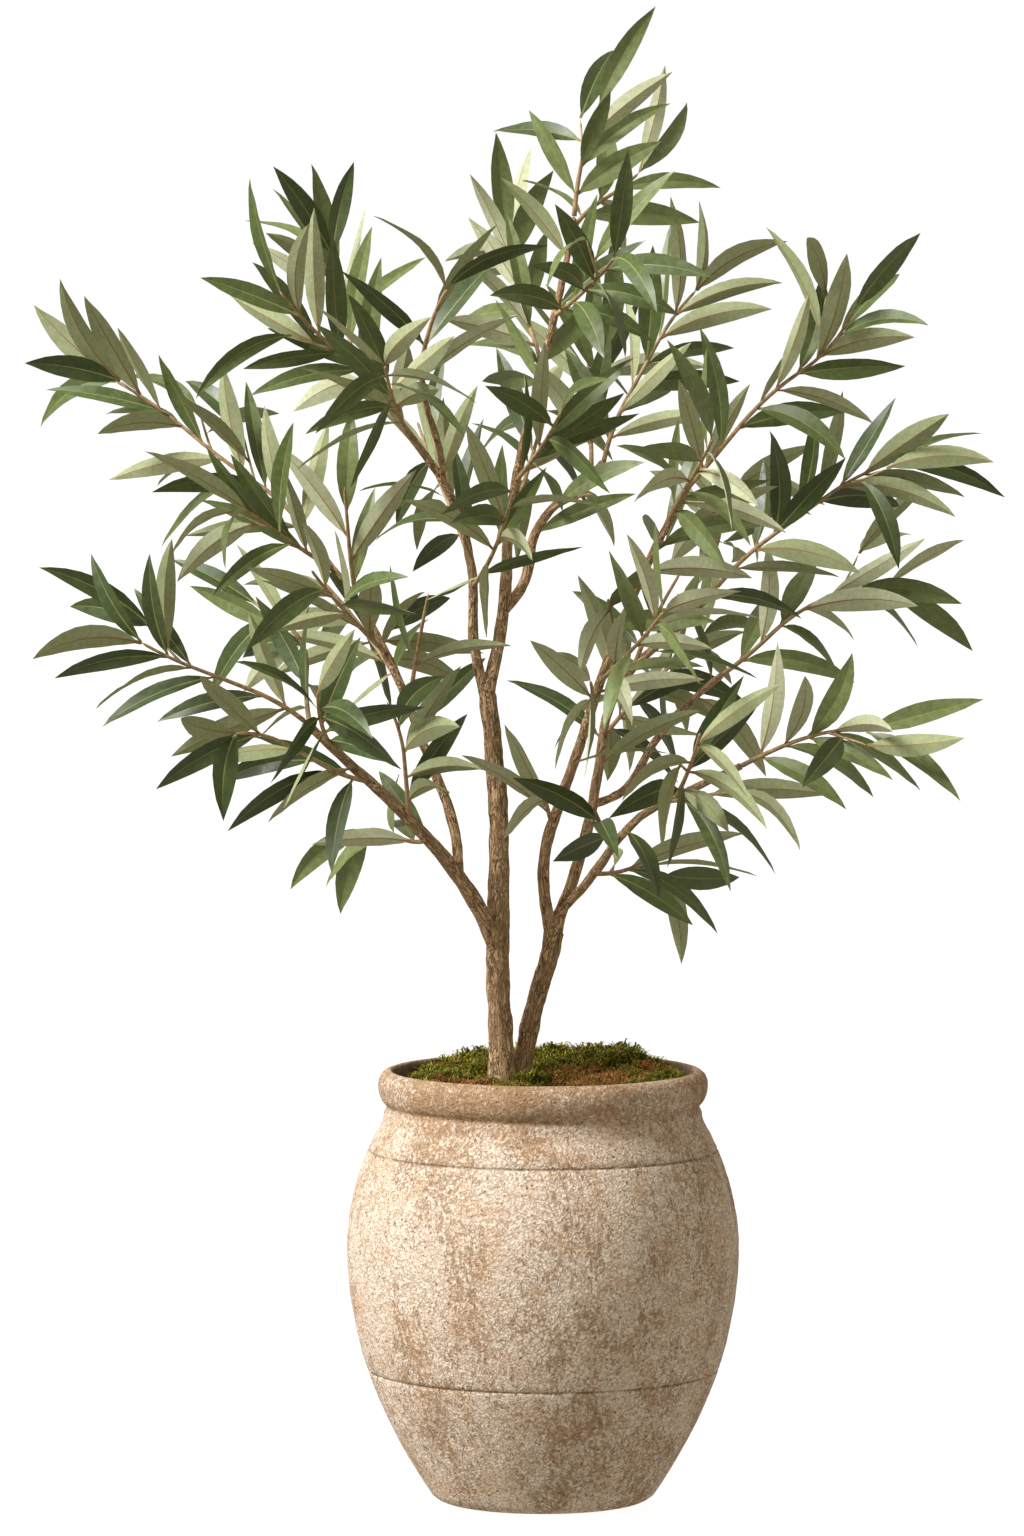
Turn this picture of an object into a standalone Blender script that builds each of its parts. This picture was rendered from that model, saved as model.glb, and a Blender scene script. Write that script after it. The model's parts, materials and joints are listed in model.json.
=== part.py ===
"""Potted olive tree: a round jar filled with soil, a mossed top, two stems, boughs and leaf masses.

Metres, +Z up. The origin is the centre of the jar's flat underside, and the
tree is seen as in a front view when looking along +Y with +X to the right.
"""

import math
import random
from dataclasses import dataclass

import bmesh
import bpy
import numpy as np
from mathutils import Vector
from mathutils.bvhtree import BVHTree

# Gaps between pieces that touch on the real plant
SEAT_GAP = 0.0003
LEAF_CLEARANCE = 0.0010

# The jar
JAR_SEGMENTS = 32
JAR_BASE_RADIUS = 0.098
JAR_BELLY_RADIUS = 0.1773
JAR_BELLY_HEIGHT = 0.2275
JAR_BELLY_FULLNESS = 2.0
JAR_SHOULDER_CURVE = 2.39
JAR_SHOULDER_TOP = 0.333
JAR_OUTER_STEPS = 11
JAR_NECK_RADIUS = 0.1418
JAR_NECK_HEIGHT = 0.3507
JAR_WALL = 0.012
JAR_FLOOR = 0.016
JAR_FLOOR_INSET = 0.012
JAR_INNER_HEIGHTS = (0.305, 0.2275, 0.130, 0.050)
JAR_FOOT_ROUND = 0.005
RIM_HEIGHT = 0.3905
RIM_MIDDLE = 0.3765
RIM_OUTER_RADIUS = 0.149
RIM_INNER_RADIUS = 0.1336
RIM_ANGLES = (-50, -20, 10, 40, 70, 100, 135, 170)
NECK_FILLET = (0.0022, 0.008)
THROAT_RADIUS = 0.1300
THROAT_HEIGHT = 0.3467
GROOVE_HEIGHTS = (0.1185, 0.317)
GROOVE_HALF_WIDTH = 0.0018
GROOVE_DEPTH = 0.0014

# Soil and moss
SOIL_LEVEL = 0.368
MOSS_EDGE_HEIGHT = 0.007
MOSS_CROWN_HEIGHT = 0.021
MOSS_RINGS = 5
MOSS_SEGMENTS = 24
MOSS_BUMP = 0.003
MOSS_LIFT = 0.09
MOSS_FALL = 5
MOSS_LOWEST = 0.6
MOSS_LONG_WAVES = (61, 53)
MOSS_SHORT_WAVES = (118, 97)

# Limbs
LIMB_SIDES = 6
TRUNK_SIDES = 10
RING_SPACING = 0.030
TWIG_RING_SPACING = 0.040
FLARE_SHARE = 0.42
FLARE_HEIGHT = 0.016
FLARE_LOBES = 3
FLARE_LOBE_SHARE = 0.10
KNOT_SHARE = 0.05
KNOT_STEP = 2.4
LINE_FINENESS = 8
SAMPLE_SPACING = 0.006

# Leaves and the twigs that carry them
STEM_RADII = (0.0024, 0.0015)
TWIG_RADII = (0.0016, 0.0012)
TWIG_SIDES = 3
LEAF_LENGTH = 0.098
LEAF_WIDTH = 0.0270
LEAF_THICKNESS = 0.0017
LEAF_WIDEST = 0.46
LEAF_ARCH = 0.07
LEAF_PITCH = 0.0270
ROOT_SHIFT = 0.25
ROOT_CROWD = 0.012
INNER_SAMPLES = (0.5, 0.75, 1.0)
OUTER_SAMPLES = (0.3, 0.6)
DROOP = 0.16
TIP_SHARE = 0.985
TIP_STEP = 0.0022
TIP_SPREADS = (8, 27, 31)
STEM_SPREAD = 58
SPREAD_LOSS = 16
SPREAD_RANGE = (-7, 9)
LEAF_RANGE = (0.82, 1.08)
LEAF_TRIES = 7
TRY_TURN = 0.55
TRY_LOSS = 0.08
BARE_FOOT = 0.022
BARE_SHARES = (0.12, 0.35)
FACE_AIM = (0.0, -1.0, 0.45)
FACE_SCATTER = (0.55, 0.0, 0.45)
TWIG_LENGTH = 0.040
TWIG_RANGE = (0.8, 1.15)
TWIG_SHARES = (0.30, 0.55)
TWIG_TRIES = 6
TWIG_WAY = (0.62, 0.70, 0.20)
TWIG_RISE = 0.75
REACH = 0.125
GOLDEN_TURN = math.radians(137.5)
FLAT_ANGLE = math.radians(0.05)
SEED = 1907


@dataclass(frozen=True)
class Limb:
    """A tapering limb. Its run and leans are measured in the upright X-Z plane.

    at is the share of the parent's run where it leaves, run is its length in
    metres, lean is its angle from upright towards +X in degrees at even steps
    from foot to tip, back is how far its tip stands behind its foot in metres,
    and girth is its radius at foot and tip in metres.
    """

    name: str
    parent: str
    at: float
    run: float
    lean: tuple
    back: float
    girth: tuple


@dataclass(frozen=True)
class Mass:
    """A mass of leaves on one stem, measured as a limb is, with its side twigs."""

    name: str
    parent: str
    at: float
    run: float
    lean: tuple
    back: float
    twigs: int


TRUNK_FOOT = (-0.036, 0.0)
SECOND_STEM_FOOT = (-0.024, 0.014)

STEMS = (
    Limb("trunk", "", 0.0, 0.363, (-3, -2, 2, -4, -7), 0.0, (0.0112, 0.0076)),
    Limb("second_stem", "", 0.0, 0.150, (13, 10, 20, 6), 0.018, (0.0080, 0.0086)),
)

BOUGHS = (
    Limb("bough_lower_left", "trunk", 0.35, 0.279, (-18, -33, -43, -47, -44), -0.1, (0.0078, 0.0036)),
    Limb("bough_middle_left", "bough_lower_left", 0.28, 0.32, (0, -23, -21, -31, -41), 0.1, (0.0048, 0.0034)),
    Limb("leader", "trunk", 1.0, 0.434, (16, 2, 13, 14, 9), 0.02, (0.0060, 0.0028)),
    Limb("bough_upper_left", "trunk", 0.99, 0.305, (-23, 3, -16, -38, -34), -0.04, (0.0048, 0.0030)),
    Limb("bough_upper_middle", "bough_upper_left", 0.65, 0.109, (-2, -19, 0), -0.09, (0.0030, 0.0026)),
    Limb("bough_inner_right", "leader", 0.17, 0.165, (50, 4, 55, 42), 0.12, (0.0052, 0.0030)),
    Limb("bough_right", "second_stem", 1.0, 0.353, (24, 14, 6, 51, 42), 0.07, (0.0056, 0.0032)),
    Limb("bough_upper_right", "second_stem", 0.97, 0.428, (-20, 20, 17, 23, 29), -0.07, (0.0056, 0.0034)),
    Limb("bough_far_right", "bough_right", 0.33, 0.168, (84, 26, 46, 55), 0.10, (0.0040, 0.0030)),
    Limb("bough_lower_right", "bough_right", 0.05, 0.217, (43, 31, 63, 62), -0.12, (0.0044, 0.0030)),
)

MASSES = (
    Mass("leaves_top", "leader", 1.0, 0.100, (4, 12, 22), 0.00, 1),
    Mass("leaves_top_right", "leader", 0.97, 0.082, (32, 60, 46), 0.05, 1),
    Mass("leaves_top_front", "leader", 0.79, 0.075, (51, 45, 37), -0.13, 1),
    Mass("leaves_top_behind", "leader", 0.61, 0.150, (25, -20, -12, -16), 0.16, 1),
    Mass("leaves_centre_slim", "leader", 0.44, 0.077, (38, 32, 23), -0.12, 1),
    Mass("leaves_centre_front", "bough_upper_left", 0.33, 0.099, (35, 19, 15), -0.16, 1),
    Mass("leaves_centre_behind", "leader", 0.36, 0.110, (24, 18, 12), 0.25, 2),
    Mass("leaves_upper_middle", "bough_upper_middle", 1.0, 0.072, (9, 18, 30), -0.04, 1),
    Mass("leaves_upper_front", "bough_upper_left", 0.82, 0.070, (-30, -14, -4), -0.22, 1),
    Mass("leaves_upper_left", "bough_upper_left", 1.0, 0.120, (-33, -55, -42, -38), -0.06, 2),
    Mass("leaves_upper_left_tall", "bough_upper_left", 0.97, 0.136, (-63, -9, -17, -5), 0.10, 1),
    Mass("leaves_upper_behind", "bough_upper_left", 0.40, 0.130, (-20, -26, -20), 0.26, 2),
    Mass("leaves_left_long", "bough_middle_left", 1.0, 0.246, (-28, -57, -50, -62), 0.06, 2),
    Mass("leaves_left_hanging", "bough_middle_left", 0.94, 0.091, (-56, -51, -50), -0.12, 1),
    Mass("leaves_left_tall", "bough_middle_left", 0.82, 0.108, (-10, -4, -4), -0.05, 1),
    Mass("leaves_left_front", "bough_middle_left", 0.66, 0.105, (-40, -36, -30), -0.24, 2),
    Mass("leaves_left_behind", "bough_middle_left", 0.56, 0.110, (-36, -42, -48), 0.22, 2),
    Mass("leaves_left_centre", "bough_middle_left", 0.50, 0.107, (9, 10, 12), -0.07, 1),
    Mass("leaves_lower_left", "bough_lower_left", 1.0, 0.160, (-50, -67, -68, -58), -0.05, 2),
    Mass("leaves_lower_left_shelf", "bough_lower_left", 0.97, 0.146, (-14, 4, -66, -38), 0.15, 1),
    Mass("leaves_lower_left_front", "bough_lower_left", 0.88, 0.060, (-20, -6, 6), -0.18, 1),
    Mass("leaves_lower_left_under", "bough_lower_left", 0.71, 0.129, (-78, -57, -58, -95), -0.10, 1),
    Mass("leaves_lower_left_upright", "bough_lower_left", 0.53, 0.113, (-5, -4, -28), -0.06, 1),
    Mass("leaves_lower_left_low", "bough_lower_left", 0.44, 0.058, (-115, -63, -98), 0.06, 1),
    Mass("leaves_inner_right", "bough_inner_right", 1.0, 0.180, (12, 29, 29, 45), 0.05, 2),
    Mass("leaves_inner_behind", "bough_inner_right", 0.90, 0.105, (2, -4, 4), 0.16, 1),
    Mass("leaves_inner_low", "bough_inner_right", 0.60, 0.042, (49, 61, 75), -0.12, 1),
    Mass("leaves_upper_right", "bough_upper_right", 1.0, 0.222, (40, 39, 56, 24), -0.05, 2),
    Mass("leaves_upper_right_front", "bough_upper_right", 0.93, 0.085, (20, 26, 20), -0.20, 1),
    Mass("leaves_upper_right_behind", "bough_upper_right", 0.86, 0.100, (66, 60, 48), 0.25, 2),
    Mass("leaves_stem_sprig", "bough_upper_right", 0.24, 0.042, (-19, -10, 3), -0.05, 1),
    Mass("leaves_right_stem_low", "bough_upper_right", 0.49, 0.035, (12, -2, -14), -0.10, 1),
    Mass("leaves_right_stem_middle", "bough_upper_right", 0.65, 0.045, (-7, -10, -13), -0.12, 1),
    Mass("leaves_right_stem_front", "bough_upper_right", 0.56, 0.090, (40, 36, 30), -0.22, 2),
    Mass("leaves_right", "bough_right", 1.0, 0.198, (40, 54, 54, 73), 0.00, 2),
    Mass("leaves_right_inner", "bough_right", 0.70, 0.096, (20, 28, 32), 0.03, 1),
    Mass("leaves_right_behind", "bough_right", 0.50, 0.100, (44, 52, 50), 0.22, 2),
    Mass("leaves_far_right", "bough_far_right", 1.0, 0.176, (56, 47, 68, 94), 0.06, 2),
    Mass("leaves_lower_right", "bough_lower_right", 1.0, 0.115, (60, 65, 75, 97), -0.05, 2),
    Mass("leaves_lower_right_front", "bough_lower_right", 0.70, 0.070, (20, 14, 8), -0.17, 1),
    Mass("leaves_lower_right_under", "bough_lower_right", 0.65, 0.062, (83, 74, 88), -0.05, 1),
    Mass("leaves_lower_right_inner", "bough_lower_right", 0.35, 0.047, (-27, -24, -18), -0.06, 1),
    Mass("leaves_lower_right_low", "bough_lower_right", 0.21, 0.068, (100, 74, 141), 0.07, 1),
)

PALETTE = {
    "jar": ((0.56, 0.44, 0.32), 0.9),
    "soil": ((0.07, 0.045, 0.03), 1.0),
    "moss": ((0.11, 0.14, 0.03), 1.0),
    "bark": ((0.16, 0.10, 0.06), 0.9),
    "leaf": ((0.09, 0.13, 0.05), 0.6),
}


def clear_scene():
    """Remove everything that the scene holds."""
    for thing in list(bpy.data.objects):
        bpy.data.objects.remove(thing, do_unlink=True)


def material(name):
    """Return the named material of the palette, made once."""
    found = bpy.data.materials.get(name)
    if found:
        return found
    colour, roughness = PALETTE[name]
    made = bpy.data.materials.new(name)
    made.use_nodes = True
    shader = made.node_tree.nodes["Principled BSDF"]
    shader.inputs["Base Color"].default_value = (*colour, 1.0)
    shader.inputs["Roughness"].default_value = roughness
    shader.inputs["Metallic"].default_value = 0.0
    return made


def add_object(name, bm, finish):
    """Turn a bmesh into a named, linked object with its material."""
    bmesh.ops.recalc_face_normals(bm, faces=bm.faces)
    mesh = bpy.data.meshes.new(name)
    bm.to_mesh(mesh)
    bm.free()
    thing = bpy.data.objects.new(name, mesh)
    bpy.context.scene.collection.objects.link(thing)
    mesh.materials.append(material(finish))
    return thing


def apply_boolean(thing, operation, solver="EXACT", cutter=None, group=None):
    """Apply one Boolean to an object and remove what it was cut by or joined to."""
    modifier = thing.modifiers.new(operation.lower(), "BOOLEAN")
    modifier.operation = operation
    modifier.solver = solver
    if group:
        modifier.operand_type = "COLLECTION"
        modifier.collection = group
    else:
        modifier.object = cutter
    graph = bpy.context.evaluated_depsgraph_get()
    result = bpy.data.meshes.new_from_object(thing.evaluated_get(graph))
    thing.modifiers.clear()
    thing.data = result
    for used in list(group.objects) if group else [cutter]:
        bpy.data.objects.remove(used, do_unlink=True)
    if group:
        bpy.data.collections.remove(group)


def revolve(profile, segments):
    """Spin a profile of (radius, height) points about Z into one closed shape."""
    bm = bmesh.new()
    line = [bm.verts.new((radius, 0.0, height)) for radius, height in profile]
    edges = [bm.edges.new(pair) for pair in zip(line, line[1:])]
    bmesh.ops.spin(
        bm, geom=line + edges, cent=(0, 0, 0), axis=(0, 0, 1), dvec=(0, 0, 0),
        angle=math.tau, steps=segments, use_merge=True,
    )
    bmesh.ops.remove_doubles(bm, verts=bm.verts, dist=1e-6)
    return bm


def lower_radius(height):
    """Radius of the jar's outside below its belly."""
    below = (JAR_BELLY_HEIGHT - height) / JAR_BELLY_HEIGHT
    return JAR_BELLY_RADIUS - (JAR_BELLY_RADIUS - JAR_BASE_RADIUS) * below**JAR_BELLY_FULLNESS


def shoulder_radius(height):
    """Radius of the jar's outside from its belly to its shoulder's top."""
    return JAR_BELLY_RADIUS - JAR_SHOULDER_CURVE * (height - JAR_BELLY_HEIGHT) ** 2


def body_radius(height):
    """Radius of the jar's outside from its foot to its shoulder's top."""
    return lower_radius(height) if height < JAR_BELLY_HEIGHT else shoulder_radius(height)


def outer_profile():
    """Points up the jar's outside, from the edge of its underside to the rim's top."""
    steps = range(1, JAR_OUTER_STEPS + 1)
    heights = [JAR_SHOULDER_TOP * step / JAR_OUTER_STEPS for step in steps]
    for groove in GROOVE_HEIGHTS:
        heights = [height for height in heights if abs(height - groove) > 2.5 * GROOVE_HALF_WIDTH]
        heights += [groove - GROOVE_HALF_WIDTH, groove, groove + GROOVE_HALF_WIDTH]
    points = [(JAR_BASE_RADIUS - JAR_FOOT_ROUND, 0.0), (lower_radius(JAR_FOOT_ROUND), JAR_FOOT_ROUND)]
    for height in sorted(heights):
        depth = GROOVE_DEPTH if height in GROOVE_HEIGHTS else 0.0
        points.append((body_radius(height) - depth, height))
    wider, lower = NECK_FILLET
    points.append((JAR_NECK_RADIUS + wider, JAR_NECK_HEIGHT - lower))
    points.append((JAR_NECK_RADIUS, JAR_NECK_HEIGHT))
    return points + rim_bead()


def rim_bead():
    """Points round the rolled rim, from the neck over its top to its inner lip."""
    middle = (RIM_OUTER_RADIUS + RIM_INNER_RADIUS) / 2
    half = (RIM_OUTER_RADIUS - RIM_INNER_RADIUS) / 2
    rise = RIM_HEIGHT - RIM_MIDDLE
    points = []
    for angle in RIM_ANGLES:
        turn = math.radians(angle)
        points.append((middle + half * math.cos(turn), RIM_MIDDLE + rise * math.sin(turn)))
    return points


def inner_profile(clearance):
    """Points down the jar's inside from the throat to the floor's centre."""
    points = [(THROAT_RADIUS - clearance, THROAT_HEIGHT)]
    for height in JAR_INNER_HEIGHTS:
        points.append((body_radius(height) - JAR_WALL - clearance, height))
    floor = JAR_FLOOR + clearance
    points.append((lower_radius(JAR_FLOOR) - JAR_WALL - JAR_FLOOR_INSET - clearance, floor))
    points.append((0.0, floor))
    return points


def make_jar():
    """Build the jar as one shell, open at the top, with a flat underside."""
    profile = [(0.0, 0.0)] + outer_profile() + inner_profile(0.0)
    add_object("pot", revolve(profile, JAR_SEGMENTS), "jar")


def make_soil():
    """Build the soil that fills the jar up to the level the tree stands on."""
    throat = THROAT_RADIUS - SEAT_GAP
    profile = [(0.0, SOIL_LEVEL), (throat, SOIL_LEVEL)] + inner_profile(SEAT_GAP)
    add_object("soil", revolve(profile, JAR_SEGMENTS), "soil")


def moss_height(x, y, share):
    """Height of the moss over the soil, mounded towards the back and right."""
    fade = 1 - share**MOSS_FALL
    crown = MOSS_EDGE_HEIGHT + (MOSS_CROWN_HEIGHT - MOSS_EDGE_HEIGHT) * fade
    lift = MOSS_LIFT * (y + 0.4 * x)
    long_x, long_y = MOSS_LONG_WAVES
    short_x, short_y = MOSS_SHORT_WAVES
    waves = math.sin(long_x * x + 0.6) * math.cos(long_y * y - 0.9)
    waves += 0.5 * math.sin(short_x * x - short_y * y)
    return max(MOSS_EDGE_HEIGHT * MOSS_LOWEST, crown + lift + MOSS_BUMP * waves * fade)


def make_moss(stems):
    """Build the moss cushion on the soil, with room for the stems."""
    base = SOIL_LEVEL + SEAT_GAP
    outer = THROAT_RADIUS - 2 * SEAT_GAP
    bm = bmesh.new()
    rows = []
    for ring in range(1, MOSS_RINGS + 1):
        share = ring / MOSS_RINGS
        row = []
        for step in range(MOSS_SEGMENTS):
            turn = math.tau * step / MOSS_SEGMENTS
            x = outer * share * math.cos(turn)
            y = outer * share * math.sin(turn)
            row.append(bm.verts.new((x, y, base + moss_height(x, y, share))))
        rows.append(row)
    foot = [bm.verts.new((v.co.x, v.co.y, base)) for v in rows[-1]]
    top = bm.verts.new((0, 0, base + moss_height(0.0, 0.0, 0.0)))
    for step in range(MOSS_SEGMENTS):
        after = (step + 1) % MOSS_SEGMENTS
        bm.faces.new((top, rows[0][step], rows[0][after]))
        for inner, wide in zip(rows, rows[1:] + [foot]):
            bm.faces.new((inner[step], wide[step], wide[after], inner[after]))
    bm.faces.new(foot)
    moss = add_object("moss_bed", bm, "moss")
    for stem in stems:
        apply_boolean(moss, "DIFFERENCE", cutter=stem.solid("cutter", grow=SEAT_GAP))


class Growth:
    """A limb's or a stem's line with its radii, from which its solids are made."""

    def __init__(self, name, foot, run, lean, back, girth, sides, flare=0.0):
        spacing = RING_SPACING if sides > TWIG_SIDES else TWIG_RING_SPACING
        self.name = name
        self.sides = sides
        self.flare = flare
        self.girth = girth
        self.length = math.hypot(run, back)
        steps = max(2, round(self.length / spacing))
        self.points = limb_line(foot, run, lean, back, steps)

    def place(self, share):
        """Return the point and direction at a share of the length."""
        spot = share * (len(self.points) - 1)
        low = min(int(spot), len(self.points) - 2)
        here, there = self.points[low], self.points[low + 1]
        return here.lerp(there, spot - low), (there - here).normalized()

    def radius(self, share):
        """Return the limb's radius at a share of its length, with the root flare."""
        width = self.girth[0] + (self.girth[1] - self.girth[0]) * share
        spread = self.flare * math.exp(-share * self.length / FLARE_HEIGHT)
        return width * (1 + spread)

    def samples(self):
        """Return points and radii closely spaced along the limb as arrays."""
        count = max(3, int(self.length / SAMPLE_SPACING))
        shares = [index / count for index in range(count + 1)]
        spots = np.array([self.place(share)[0] for share in shares])
        return spots, np.array([self.radius(share) for share in shares])

    def solid(self, name, grow=0.0, finish="bark"):
        """Build the limb as one closed tube, grown all round for a cutter."""
        bm = bmesh.new()
        rings = []
        across = Vector((0, 1, 0))
        last = len(self.points) - 1
        for index, point in enumerate(self.points):
            share = index / last
            ahead = self.place(min(share + 0.5 / last, 1.0))[1]
            behind = self.place(max(share - 0.5 / last, 0.0))[1]
            along = (ahead + behind).normalized()
            if self.flare and index == 0:
                along = Vector((0, 0, 1))
            side = across.cross(along).normalized()
            across = along.cross(side).normalized()
            shift = along * (grow if index == last else -grow if index == 0 else 0.0)
            ring = []
            for step in range(self.sides):
                turn = math.tau * step / self.sides
                out = math.cos(turn) * side + math.sin(turn) * across
                wide = self.radius(share) * self.lobe(turn, share, index)
                wide += grow / math.cos(math.pi / self.sides)
                ring.append(bm.verts.new(point + shift + wide * out))
            rings.append(ring)
        for low, high in zip(rings, rings[1:]):
            for step in range(self.sides):
                after = (step + 1) % self.sides
                bm.faces.new((low[step], low[after], high[after]))
                bm.faces.new((low[step], high[after], high[step]))
        bm.faces.new(reversed(rings[0]))
        bm.faces.new(rings[-1])
        return add_object(name, bm, finish)

    def lobe(self, turn, share, index):
        """Return the share by which the radius swells at knots and root lobes."""
        swell = 1.0
        if self.sides > TWIG_SIDES and 0 < share < 1:
            swell += KNOT_SHARE * math.sin(KNOT_STEP * index + 1.3)
        if self.flare:
            fade = math.exp(-share * self.length / FLARE_HEIGHT)
            swell *= 1 + FLARE_LOBE_SHARE * fade * math.cos(FLARE_LOBES * turn + 0.8)
        return swell


def limb_line(foot, run, lean, back, steps):
    """Return the points along a limb whose lean runs evenly through its angles."""
    strides = steps * LINE_FINENESS
    spots = np.linspace(0, 1, len(lean))
    point = Vector(foot)
    points = [point.copy()]
    for step in range(strides):
        angle = math.radians(np.interp((step + 0.5) / strides, spots, lean))
        point += Vector((run * math.sin(angle), back, run * math.cos(angle))) / strides
        if (step + 1) % LINE_FINENESS == 0:
            points.append(point.copy())
    return points


def grow_limbs():
    """Work out the line of every stem, bough and mass stem, by name."""
    lines = {}
    feet = {"trunk": TRUNK_FOOT, "second_stem": SECOND_STEM_FOOT}
    for stem in STEMS:
        foot = (*feet[stem.name], SOIL_LEVEL + SEAT_GAP)
        lines[stem.name] = Growth(
            stem.name, foot, stem.run, stem.lean, stem.back, stem.girth, TRUNK_SIDES, FLARE_SHARE
        )
    for bough in BOUGHS:
        foot = lines[bough.parent].place(bough.at)[0]
        lines[bough.name] = Growth(
            bough.name, foot, bough.run, bough.lean, bough.back, bough.girth, LIMB_SIDES
        )
    return lines


def grow_mass_stems(lines):
    """Work out the line of every mass's stem, by name."""
    stems = {}
    for mass in MASSES:
        foot = lines[mass.parent].place(mass.at)[0]
        stems[mass.name] = Growth(
            mass.name, foot, mass.run, mass.lean, mass.back, STEM_RADII, TWIG_SIDES
        )
    return stems


def make_limbs(lines):
    """Build the stems and boughs, each cut clear of those it grows from or beside."""
    made = []
    for limb in STEMS + BOUGHS:
        line = lines[limb.name]
        thing = line.solid(limb.name)
        for other in made:
            if other.name == limb.parent or near(line, lines[other.name]):
                apply_boolean(thing, "DIFFERENCE", cutter=lines[other.name].solid("cutter", grow=SEAT_GAP))
        keep_body(thing)
        made.append(limb)


def near(line, other):
    """Tell whether two limbs touch or nearly touch somewhere."""
    spots, radii = line.samples()
    others, widths = other.samples()
    gaps = np.linalg.norm(spots[:, None] - others[None], axis=2) - radii[:, None] - widths[None]
    return gaps.min() < 2 * SEAT_GAP


def keep_body(thing):
    """Keep an object's largest closed body, dropping scraps and sealed hollows."""
    bm = bmesh.new()
    bm.from_mesh(thing.data)
    bmesh.ops.triangulate(bm, faces=bm.faces)
    left = set(bm.faces)
    bodies = []
    while left:
        body = {left.pop()}
        edge = list(body)
        while edge:
            face = edge.pop()
            for neighbour in {f for e in face.edges for f in e.link_faces} & left:
                left.discard(neighbour)
                body.add(neighbour)
                edge.append(neighbour)
        bodies.append(body)
    bodies.sort(key=lambda body: -abs(body_volume(body)))
    scrap = [face for body in bodies[1:] for face in body]
    bmesh.ops.delete(bm, geom=scrap, context="FACES")
    bmesh.ops.dissolve_limit(bm, angle_limit=FLAT_ANGLE, verts=bm.verts, edges=bm.edges)
    bmesh.ops.triangulate(bm, faces=bm.faces)
    bm.to_mesh(thing.data)
    bm.free()


def body_volume(faces):
    """Return the volume that a closed set of triangles holds."""
    return sum(f.verts[0].co.dot(f.verts[1].co.cross(f.verts[2].co)) for f in faces) / 6


@dataclass(frozen=True)
class Leaf:
    """A leaf's place: where it starts, where it points, its upper side and its size."""

    root: Vector
    along: Vector
    face: Vector
    length: float

    def corners(self, grow=0.0):
        """Return the six corners: root, tip, two sides, upper and lower ridge."""
        width = LEAF_WIDTH * self.length / LEAF_LENGTH / 2 + grow
        thick = LEAF_THICKNESS / 2 + grow
        side = self.along.cross(self.face)
        middle = self.root + self.along * self.length * LEAF_WIDEST + self.face * self.length * LEAF_ARCH
        tip = self.root + self.along * (self.length + grow)
        return (self.root, tip, middle + side * width, middle - side * width,
                middle + self.face * thick, middle - self.face * thick)

    def faces(self):
        """Return the corner numbers of the eight faces."""
        ring = (2, 4, 3, 5)
        pairs = list(zip(ring, ring[1:] + ring[:1]))
        return [(0, b, a) for a, b in pairs] + [(1, a, b) for a, b in pairs]

    def samples(self):
        """Return points along the leaf's middle and both edges."""
        root, tip, left, right, upper, lower = self.corners()
        middle = (upper + lower) / 2
        spots = []
        for share in INNER_SAMPLES:
            spots += [root.lerp(corner, share) for corner in (left, middle, right)]
        for share in OUTER_SAMPLES:
            spots += [corner.lerp(tip, share) for corner in (left, middle, right)]
        return np.array(spots + [tip])


class Space:
    """The room that each mass keeps to: nearer its own stem than any other's."""

    def __init__(self, stems, limbs):
        self.own = {name: stem.samples()[0] for name, stem in stems.items()}
        spots, widths = zip(*(limb.samples() for limb in limbs.values()))
        self.wood = np.concatenate(spots)
        self.girth = np.concatenate(widths)

    def holds(self, name, spots):
        """Tell whether points stay in the named mass's room and clear of the limbs."""
        spots = np.atleast_2d(spots)
        mine = nearest(spots, self.own[name])
        if mine.max() > REACH:
            return False
        wood = np.linalg.norm(spots[:, None] - self.wood[None], axis=2) - self.girth[None]
        if wood.min() < LEAF_CLEARANCE * 2:
            return False
        for other, line in self.own.items():
            if other != name and (nearest(spots, line) < mine + LEAF_CLEARANCE).any():
                return False
        return True


def nearest(spots, line):
    """Return each point's distance to the nearest point of a line."""
    return np.linalg.norm(spots[:, None] - line[None], axis=2).min(axis=1)


def tree_of(corners, faces):
    """Return the search tree of a small closed shape."""
    return BVHTree.FromPolygons([tuple(c) for c in corners], faces)


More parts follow.
